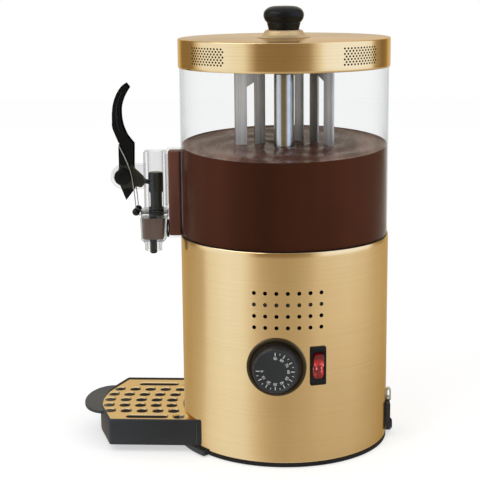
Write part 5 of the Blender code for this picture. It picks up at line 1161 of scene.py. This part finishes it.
class DISPENSER_OT_tap(Operator):
    """Make the tap: chamber, nozzle, collar, guide, plunger, lever, caps and spring"""
    bl_idname = "dispenser.tap"
    bl_label = "Tap"

    def execute(self, context):
        s = context.scene.dispenser_tap
        for part in (self.chamber, self.collar, self.guide, self.plunger, self.lever, self.spring):
            part(s)
        return {"FINISHED"}

    def chamber(self, s):
        """Tapered cup: outside, rim, inside and floor as one skin, with the nozzle below."""
        floor, bottom = 0.2256, 0.2236
        rings, heights = cup([(0.1588, 0.1335, 0.0112, bottom), (0.1598, 0.1325, 0.0122, 0.2246),
                              (0.1606, 0.1302, 0.0122, 0.2494), (0.1603, 0.1305, 0.0119, 0.2499),
                              (0.1594, 0.1322, 0.0110, 0.2499), (0.1591, 0.1325, 0.0107, 0.2494),
                              (0.1584, 0.1345, 0.0107, 0.2263), (0.1577, 0.1352, 0.0100, floor)],
                             5.5, 72)
        hole = ring_of(0.0043, 0.0043, 2, 72, (-s.stem, 0))
        piece("tap_cup", lofted(rings + [hole, hole], heights + [floor, bottom]), "tank", "tap",
              "tap_chamber")
        top = 0.2233
        nozzle = [(0.0076, top - 0.005), (0.0076, top), (0.0112, top), (0.0112, top - 0.0022),
                  (0.0096, top - 0.0022), (0.0096, top - 0.0112), (0.0076, top - 0.0112),
                  (0.0076, top - 0.005)]
        piece("tap_spout", moved(lathe(nozzle, 0.0005, 64), -s.stem), "tank", "tap", "tap_nozzle")

    def collar(self, s):
        """Clear ring between cup and guide with a black line in it, its lug, and the anchor."""
        low, high, edge = 0.2502, 0.2587, 0.0007
        bore = ring_of(0.0087, 0.0087, 2, 72, (-s.plunger, 0))
        outer = ring_of(0.0152, 0.0125, 6, 72, (-0.1445, 0))
        rings = [bore, inward(outer, edge), outer, outer, inward(outer, edge), bore]
        skin = lofted(rings, [low, low, low + edge, high - edge, high, high])
        lug = plate(ring_of(0.0047, 0.004, 4, 40, (-0.1629, 0)), low + 0.002, high - 0.0002, 0.0008)
        piece("collar", joined(skin, lug), "tank", "tap", "tap_collar")
        rings = [bore, outer * [1, 0.99], outer * [1, 0.99], bore]
        piece("collar_line", lofted(rings, [0.2553, 0.2553, 0.2562, 0.2562]), "tank", "gloss", None)
        ball = circle(np.linspace(0.5 * np.pi, -0.36 * np.pi, 14), 0.0043, (0, 0.0097))
        ball[0, 0] = 0
        profile = np.vstack([ball, ball[::-1] * [1, -1]])
        piece("anchor", placed(turned(profile, 40), UPRIGHT, (-0.1644, 0, 0.2572)), "tank",
              "gloss", "spring_anchor")

    def guide(self, s):
        """Clear block with its bore as one skin, the web to the tank, and two pivot lugs."""
        low, high, edge = 0.259, 0.3243, 0.0008
        outer = ring_of(0.01205, 0.0105, 9, 72, (-0.14325, 0))
        bore = ring_of(0.0087, 0.0087, 2, 72, (-s.plunger, 0))
        skin = lofted([bore, bore, inward(outer, edge), outer, outer, inward(outer, edge)],
                      [high, low, low, low + edge, high - edge, high])
        web = plate([(-0.1316, -0.004), (-0.1293, -0.004), (-0.1293, 0.004), (-0.1316, 0.004)],
                    0.264, 0.320, 0.0004)
        lug = np.vstack([circle(np.linspace(np.pi / 2, 3 * np.pi / 2, 25), 0.0133),
                         [(0.0236, -0.0133), (0.0236, 0.0133)]])
        lugs = [placed(plate(lug, start, start + 0.0025, 0.0005), UPRIGHT,
                       (-s.pivot, 0, s.pivot_height)) for start in (0.006, -0.0085)]
        piece("guide", joined(skin, web, *lugs), "tank", "tap", "tap_guide")
        cap = [(0, 0.0028), (0.0086, 0.0028), (0.0092, 0.0018), (0.0092, 0.0), (0, 0.0)]
        rim = [(0.0058, 0.0020), (0.0058, 0.0030), (0.0066, 0.0030), (0.0066, 0.0020)]
        shape = joined(lathe(cap, 0.0008, 64), lathe(rim, 0.0003, 64))
        for side, y, rows in (("near", -0.0088, UPRIGHT), ("far", 0.0088, UPRIGHT * [[1], [-1], [-1]])):
            piece("cap_" + side, placed(shape, rows, (-s.pivot, y, s.pivot_height)), "tank", "gloss",
                  "pivot_cap_" + side)
        dress("bright steel", "pivot_pin")

    def plunger(self, s):
        """Slotted head, waist, piston and the stem beside their axis."""
        low, high, head, waist, piston = 0.2834, 0.2920, 0.0081, 0.0065, 0.0083
        upper = [(0, 0.3008), (0.0070, 0.3008), (head, 0.2994), (head, high), (0, high)]
        lower = [(0, low), (head, low), (head, 0.2796), (waist, 0.2766), (waist, 0.2585),
                 (piston, 0.2585), (piston, 0.2520), (0, 0.2520)]
        slotted = np.vstack([circle(np.radians(np.linspace(-152.8, 152.8, 49)), head),
                             [(0.0054, 0.0037), (0.0054, -0.0037)]])
        stem = [(0, 0.2540), (0.004, 0.2540), (0.004, 0.2096), (0.0030, 0.2084), (0, 0.2084)]
        body = joined(lathe(upper, 0.0009, 64), lathe(lower, 0.0005, 64),
                      plate(slotted, low, high, 0.00005, 1), moved(lathe(stem, 0.0008, 40), -0.0042))
        piece("plunger_body", moved(body, -s.plunger), "plunger", "gloss", "plunger")
        dress("rubber", "plunger_seal")

    def lever(self, s):
        """Horn with a rib down each side, block, tail and hub, and the thin arm with its nose."""
        h = s.lever
        outer = flowing([(-0.031, 0.378), (-0.090, 0.527), (-0.094, 0.606), (-0.091, 0.699),
                         (-0.0745, 0.800), (-0.039, 0.892), (0.010, 0.966), (0.052, 1.0)]) * h
        inner = flowing([(0.079, 0.965), (0.050, 0.920), (0.016, 0.855), (-0.010, 0.773),
                         (-0.017, 0.699), (-0.010, 0.606), (0.011, 0.523), (0.050, 0.438),
                         (0.114, 0.355)]) * h
        tail = np.array([(0.109, -0.139), (0.031, -0.238), (-0.035, -0.101)]) * h
        start = math.atan2(tail[-1][1], tail[-1][0])
        hub = 0.009
        rim = circle(start + np.radians(np.linspace(0, -60, 10)), hub)
        notch = np.array([(-0.0323, 0.326), (-0.019, 0.344), (-0.019, 0.362)]) * h
        outline = np.vstack([inner, [(0.107 * h, 0.102 * h), (0.0131, 0)], tail[:2], rim,
                             [(notch[0][0], hub)], notch, outer])
        body = plate(outline, -0.005, 0.005, 0.0011, 4)
        nose_x, drop = s.pivot - s.plunger, 0.0085
        top = np.array([(0.078, 0.130), (0.107, 0.102), (0.198, 0.0167), (0.240, -0.0333)]) * h
        bottom = np.array([(0.240, -0.0800), (0.194, -0.1245), (0.128, -0.1108), (0.078, -0.060)]) * h
        spread = math.radians(150)
        nose = circle(math.atan2(-drop, nose_x) + np.linspace(spread, -spread, 25), 0.0038,
                      (nose_x, -drop))
        arm = plate(np.vstack([top, nose, bottom])[::-1], -0.003, 0.003, 0.0006)
        middle = (outer[::6][:8] + inner[::-6][:8]) / 2
        rib = flowing(middle[1:-1])
        rib = np.column_stack([rib, np.zeros(len(rib))])
        size = 0.0016 * np.sin(np.linspace(0.15, np.pi - 0.1, len(rib))) ** 0.6
        ribs = [tube(rib + [0, 0, side * 0.0046], size, 10) for side in (-1, 1)]
        piece("lever_horn", placed(joined(body, arm, *ribs), UPRIGHT, (-s.pivot, 0, s.pivot_height)),
              "lever", "gloss", "tap_lever")

    def spring(self, s):
        """Bent wire from ball to ball over the lever's notch, left free of the bodies."""
        side, corner, steps = 0.0097, 0.0022, 7
        leg = flowing([(-0.1644, 0.2618)] + [(x * s.lever - s.pivot, z * s.lever + s.pivot_height)
                                             for x, z in ((0.1157, -0.0873), (0.0735, 0.1108),
                                                          (-0.031, 0.3525))], 14)
        x, z = leg[:-2].T
        t = np.linspace(0, np.pi / 2, steps + 1)[1:]
        half = np.vstack([np.column_stack([x, np.full(len(x), -side), z]),
                          np.column_stack([np.full(steps, leg[-1, 0]), -side + corner * (1 - np.cos(t)),
                                           leg[-1, 1] - corner + corner * np.sin(t)])])
        path = np.vstack([half, (half * [1, -1, 1])[::-1]])
        wire = piece("spring_wire", tube(path, 0.0006, 10), None, "bright steel", "return_spring",
                     sharp=60)
        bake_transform(wire)


# How far the tray's front reaches at its middle, its bends and its corners, and their places
FRONT, BEND, CORNER = 0.2112, 0.2085, 0.1915
BEND_Y, CORNER_Y = 0.027, 0.075


class DISPENSER_OT_tray(Operator):
    """Make the drip tray with its lip, the gold grille and the bracket"""
    bl_idname = "dispenser.tray"
    bl_label = "Drip tray"

    def execute(self, context):
        s = context.scene.dispenser_tray
        edge = self.outline(s)
        ledge, floor = 0.0342, 0.0102
        verts, faces = carried(edge, [
            (0.004, s.bottom), (0.0006, s.bottom + 0.0006), (0, s.bottom + 0.004),
            (0, s.top - 0.0014), (0.0007, s.top - 0.0002), (0.0011, s.top), (0.0020, s.top),
            (0.0024, s.top - 0.0004), (0.0024, ledge), (0.0050, ledge), (0.0050, floor)])
        rear = verts.reshape(len(edge), -1, 3)[2:145, :, 2]
        rear[:] = np.minimum(rear, ledge)
        a = np.linspace(0, np.pi, 41)
        y = 0.0465 * np.cos(a)
        root = self.front(y)
        lip = np.column_stack([-root[0] + 0.0004 - (0.2302 - root[0]) * np.sin(a) ** 0.95, y])
        lip = np.vstack([lip, np.column_stack([0.0014 - root, y])[::-1]])
        lip = plate(lip, s.top - 0.0040, s.top - 0.0008, 0.0009)
        tray = piece("tray", joined((verts, faces), lip), "tray", "satin", "drip_tray", sharp=40)
        grille = self.grille(s)
        t = math.pi + np.radians(np.linspace(-46, 46, 49))
        arc = np.vstack([circle(t, 0.1240), circle(t, 0.1153)[::-1]])
        bracket = piece("bracket", plate(arc, 0.0016, 0.0075, 0.0006), "base", "satin", "tray_bracket")
        for obj in (tray, grille, bracket):
            obj.visible_glossy = False
        return {"FINISHED"}

    def front(self, y, gap=0.0):
        """How far the tray's front reaches at y, drawn in by a gap."""
        y = np.abs(y)
        slope = (BEND - CORNER) / (CORNER_Y - BEND_Y)
        side = BEND - (y - BEND_Y) * slope - gap * math.hypot(1, slope)
        bow = FRONT - gap - (FRONT - BEND) * (y / BEND_Y) ** 2
        return np.where(y > BEND_Y, side, bow)

    def outline(self, s):
        """Edge of the tray: an arc round the body, two sides and a bowed front."""
        spread = math.asin(s.half / s.rear)
        rear = circle(math.pi + np.linspace(spread, -spread, 49), s.rear)
        front = flowing([(-BEND, BEND_Y), (-FRONT, 0.0), (-BEND, -BEND_Y)], 8)
        edge = np.vstack([rear, [(-CORNER, s.half)], front, [(-CORNER, -s.half)]])
        soft = 0.0022
        a, b = (edge + side * np.minimum(soft / np.linalg.norm(side, axis=1), 0.3)[:, None]
                for side in (np.roll(edge, 1, 0) - edge, np.roll(edge, -1, 0) - edge))
        u = np.array([0.0, 0.5, 1.0])[None, :, None]
        curve = (1 - u) ** 2 * a[:, None] + 2 * u * (1 - u) * edge[:, None] + u ** 2 * b[:, None]
        return curve.reshape(-1, 2)

    def grille(self, s):
        """Plate between the arc round the body and the tray's front, pierced in seven rows.

        Across the plate a point's y is v; along it, u counts the arcs of holes, and x is
        read from the edges of the cells, which follow the arc of the holes at that y.
        """
        gap, cells, near, far, end = 0.0027, 6, 0.1279, 0.1753, 0.0050
        half = s.half - gap
        rows = np.linspace(-2.5, 2.5, 5 * cells + 1) * s.row
        side = np.linspace(2.5, 3.5, cells + 1)[1:] * s.row
        v = np.clip(np.concatenate([[-half], -side[::-1], rows, side, [half]]), -half, half)
        arc = np.sqrt(s.arc ** 2 - v ** 2)
        stops = [np.sqrt(s.rear ** 2 - v ** 2)] + [arc + s.column * (k - 0.5) for k in (1, 2, 3, 4)]
        stops = np.stack(stops + [np.maximum(self.front(v, gap), stops[-1] + 0.0006)])
        u = np.arange(5 * cells + 1) / cells
        k = np.minimum(u.astype(int), 4)
        rest = (u - k)[:, None]
        x = stops[k] * (1 - rest) + stops[k + 1] * rest
        holes = []
        for row in (-2, -1, 0, 1, 2, -3, 3):
            y = row * s.row
            first = 1 + (row + 3) * cells
            arc = math.sqrt(s.arc ** 2 - y ** 2)
            holes += [(column * cells, first, cells, cells, arc + s.column * column, y, 0.0, s.hole)
                      for column in range(1 if abs(row) == 3 else 5)]
            if abs(row) == 3:
                holes.append((cells, first, 3 * cells, cells, (near + far) / 2, y,
                              (far - near) / 2 - end, end))
        return piece("grille", self.punched(np.stack([-x, v + 0 * x], -1), s.top - 0.0022, holes),
                     "grille", "gold", "drip_grille")

    def punched(self, plane, top, holes):
        """The plate with true circles and long slots, each a ring of quads to its cells' border.

        A hole is (iu, iv, cells in u, cells in v, x, y, half its straight run, radius).
        """
        thick = 0.0012
        index, kept, borders = opened(*plane.shape[:2], holes)
        total, plane = index.size, plane.reshape(-1, 2)
        points = [np.column_stack([plane, np.full(total, z)]) for z in (top, top - thick)]
        faces = [kept, kept[:, ::-1] + total]
        start = 2 * total
        for (i, j), (*_, x, y, half, radius) in zip(borders, holes):
            border, count = index[i, j], len(i)
            away = plane[border] - [-x, y]
            core = np.clip(away, (-half, 0), (half, 0))
            away -= core
            away /= np.linalg.norm(away, axis=1)[:, None]
            points += [np.column_stack([core + away * (radius + d) + [-x, y], np.full(count, top - z)])
                       for d, z in ((0.0016, 0.0), (0.0008, 0.0003), (0.0, 0.0009), (0.0, thick))]
            chain = [border, *(start + np.arange(4 * count).reshape(4, count)), border + total]
            faces += [belt(a, b) for a, b in zip(chain, chain[1:])]
            start += 4 * count
        faces += [hem(line, total) for line in (index[:, 0], index[::-1, -1], index[0, ::-1], index[-1])]
        return np.vstack(points), np.vstack(faces)


def aimed(obj, side, up, back, at):
    """Put a lamp or a camera at its place, with its X, Y and Z along these directions."""
    obj.matrix_world = Matrix([*np.column_stack([side, up, back, at]).tolist(), [0, 0, 0, 1]])


class DISPENSER_OT_stage(Operator):
    """Set up the floor, the reflection walls, the lamps and the camera"""
    bl_idname = "dispenser.stage"
    bl_label = "Stage"

    def execute(self, context):
        look = context.scene.dispenser_finish
        self.floor()
        self.tent()
        self.world(look)
        self.lamp("key_lamp", look.key, (-1.1, -1.3, 1.9), 1.4)
        self.lamp("fill_lamp", look.fill, (1.5, -0.9, 1.4), 1.6)
        self.camera()
        context.scene.view_settings.view_transform = "Standard"
        return {"FINISHED"}

    def stage_object(self, name, verts, faces, material, *hidden):
        """A flat or curved part of the stage, hidden from rays of some kinds."""
        mesh = bpy.data.meshes.new(name)
        mesh.from_pydata(verts, [], faces)
        mesh.shade_smooth()
        mesh.materials.append(material)
        obj = linked(name, mesh)
        for kind in hidden:
            setattr(obj, "visible_" + kind, False)

    def floor(self):
        """Pale floor: white to the camera but for the object's soft shadow."""
        f = Finish("pale floor")
        pale = f.ramp(f.noise(f.place(), 6.0, 3.0), [(0.3, (0.93,) * 3), (0.7, (0.95,) * 3)])
        both = f.get("ShaderNodeAddShader", None,
                     {0: f.shader("BsdfDiffuse", Color=(0.72,) * 3),
                      1: f.shader("Emission", Color=(1, 1, 1), Strength=0.535)})
        f.layered(f.blended(f.seen("Camera", "Transmission"), f.shader("BsdfDiffuse", Color=pale),
                            both))
        size, z = 4.0, -0.0002
        self.stage_object("floor", [(-size, -size, z), (size, -size, z), (size, size, z),
                                    (-size, size, z)], [(0, 1, 2, 3)], f.material, "glossy")

    def tent(self):
        """Round wall of light and grey cloths that only reflections see."""
        f = Finish("studio cloths")
        x, y, z = f.split(f.place())
        turn = f.azimuth(x, y)
        middle = f.dial(turn, 1.2, "LINEAR", (-180, 0.70), (-150, 0.64), (-128, 0.56), (-99, 0.60),
                        (-91, 0.92), (-80, 0.98), (-64, 1.05), (-44, 1.02), (-34, 0.84), (-24, 0.64),
                        (-12, 0.55), (2, 0.53), (16, 0.58), (28, 0.68), (38, 0.80), (50, 0.83),
                        (75, 0.865), (94, 0.81), (112, 0.70), (130, 0.66), (150, 0.62), (180, 0.70))
        low = f.dial(turn, 1.2, "LINEAR", (-180, 0.60), (-128, 0.60), (-108, 0.70), (-96, 0.91),
                     (-66, 0.99), (-45, 0.97), (-34, 0.85), (-24, 0.69), (-12, 0.58), (0, 0.54),
                     (28, 0.59), (40, 0.62), (80, 0.63), (112, 0.55), (150, 0.46), (180, 0.60))
        high = f.dial(turn, 1.2, "LINEAR", (-180, 0.80), (-150, 0.88), (-140, 0.34), (-112, 0.30),
                      (-101, 0.90), (-94, 1.06), (-62, 1.07), (-40, 1.0), (-33, 0.66), (-27, 0.34),
                      (-16, 0.30), (0, 0.29), (14, 0.32), (28, 0.40), (35, 0.80), (44, 1.09),
                      (70, 1.15), (106, 1.10), (113, 0.50), (130, 0.26), (142, 0.40), (151, 0.86),
                      (180, 0.80))
        level = f.mix(f.between(z, -0.60, -1.05), middle, low)
        level = f.mix(f.between(z, -0.35, 0.0), level, high)
        cloth = f.ramp(level, [(0.25, (0.15, 0.11, 0.06)), (0.43, (0.26, 0.22, 0.155)),
                               (0.54, (0.325, 0.29, 0.225)), (0.69, (0.415, 0.385, 0.33)),
                               (0.76, (0.455, 0.455, 0.43)), (0.84, (0.505, 0.525, 0.52)),
                               (0.94, (0.565, 0.645, 0.80))])
        walls = f.shader("Emission", Color=cloth, Strength=2.0)
        lit = f.shader("Emission", Color=(1, 1, 1), Strength=5.0)
        box = f.between(z, 1.9, 2.0) * f.between(z, 3.0, 2.9) * f.between(turn, 0.24, 0.26)
        f.layered(f.blended(box * f.between(turn, 0.45, 0.43), walls, lit))
        ring = circle(np.linspace(0, 2 * np.pi, 96, endpoint=False), 3)
        verts, quads = lofted([ring, ring], [-3.5, 4.0], closed=False)
        self.stage_object("studio_cloths", (verts + AXIS).tolist(), quads.tolist(), f.material,
                          "camera", "diffuse", "transmission", "shadow", "volume_scatter")

    def world(self, look):
        """White to camera, glossy and transmission rays, and a softer level as light."""
        f = Finish("studio", "World")
        room, white = (f.shader("Background", Color=(1, 1, 1), Strength=level)
                       for level in (look.room, 1.0))
        seen = f.seen("Camera", "Glossy", "Transmission")
        bpy.context.scene.world = f.layered(f.blended(seen, room, white))

    def lamp(self, name, power, place, size):
        """A large soft lamp that points at the tank."""
        data = bpy.data.lights.new(name, "AREA")
        data.shape, data.size, data.energy = "DISK", size, power
        obj = linked(name, data)
        at = np.array(place)
        back = at - [0.0, 0.0, 0.22]
        back /= np.linalg.norm(back)
        side = np.cross([0, 0, 1], back)
        side /= np.linalg.norm(side)
        aimed(obj, side, np.cross(back, side), back, at)
        obj.visible_glossy = False

    def camera(self):
        """The photograph's view: in front of the panel, a little above, turned to the tap."""
        yaw, pitch, roll = -0.060, 0.205, -0.010
        ahead = np.array([math.sin(yaw), math.cos(yaw), 0.0])
        right = np.array([math.cos(yaw), -math.sin(yaw), 0.0])
        up = math.sin(pitch) * ahead + [0, 0, math.cos(pitch)]
        back = [0, 0, math.sin(pitch)] - math.cos(pitch) * ahead
        c, q = math.cos(roll), math.sin(roll)
        data = bpy.data.cameras.new("camera")
        data.sensor_width, data.lens, data.clip_start, data.clip_end = 36, 95.99, 0.05, 50
        obj = linked("camera", data)
        aimed(obj, c * right + q * up, c * up - q * right, back, AXIS + [0.0345, -1.400, 0.5152])
        bpy.context.scene.camera = obj


class DISPENSER_PT_sidebar(Panel):
    """Lists the dispenser's pieces and their sizes"""
    bl_idname = "DISPENSER_PT_sidebar"
    bl_label = "Hot Chocolate Dispenser"
    bl_space_type = "VIEW_3D"
    bl_region_type = "UI"
    bl_category = "Dispenser"

    def draw(self, context):
        for operator in OPERATORS:
            self.layout.operator(operator.bl_idname)
        for name, group in SETTINGS.items():
            box = self.layout.box()
            box.label(text=name[10:].capitalize())
            for key in group.__annotations__:
                box.prop(getattr(context.scene, name), key)


SETTINGS = {"dispenser_body": DispenserBody, "dispenser_tank": DispenserTank,
            "dispenser_lid": DispenserLid, "dispenser_tap": DispenserTap,
            "dispenser_tray": DispenserTray, "dispenser_finish": DispenserFinish}
OPERATORS = (DISPENSER_OT_body, DISPENSER_OT_panel, DISPENSER_OT_tank, DISPENSER_OT_drink,
             DISPENSER_OT_mixer, DISPENSER_OT_lid, DISPENSER_OT_tap, DISPENSER_OT_tray,
             DISPENSER_OT_stage)


def register():
    """Register the classes and put the settings on the scene."""
    for cls in (*SETTINGS.values(), *OPERATORS, DISPENSER_PT_sidebar):
        bpy.utils.register_class(cls)
    for name, group in SETTINGS.items():
        setattr(bpy.types.Scene, name, PointerProperty(type=group))


def unregister():
    """Take the settings and the classes away again."""
    for name in SETTINGS:
        delattr(bpy.types.Scene, name)
    for cls in (DISPENSER_PT_sidebar, *reversed(OPERATORS), *SETTINGS.values()):
        bpy.utils.unregister_class(cls)


def plain(box):
    """A box as lists of numbers."""
    return [[float(part) for part in corner] for corner in box]


def main():
    """Build every piece."""
    register()
    for operator in OPERATORS:
        group, name = operator.bl_idname.split(".")
        getattr(getattr(bpy.ops, group), name)()
    bpy.context.view_layer.update()


if __name__ == "__main__":
    main()
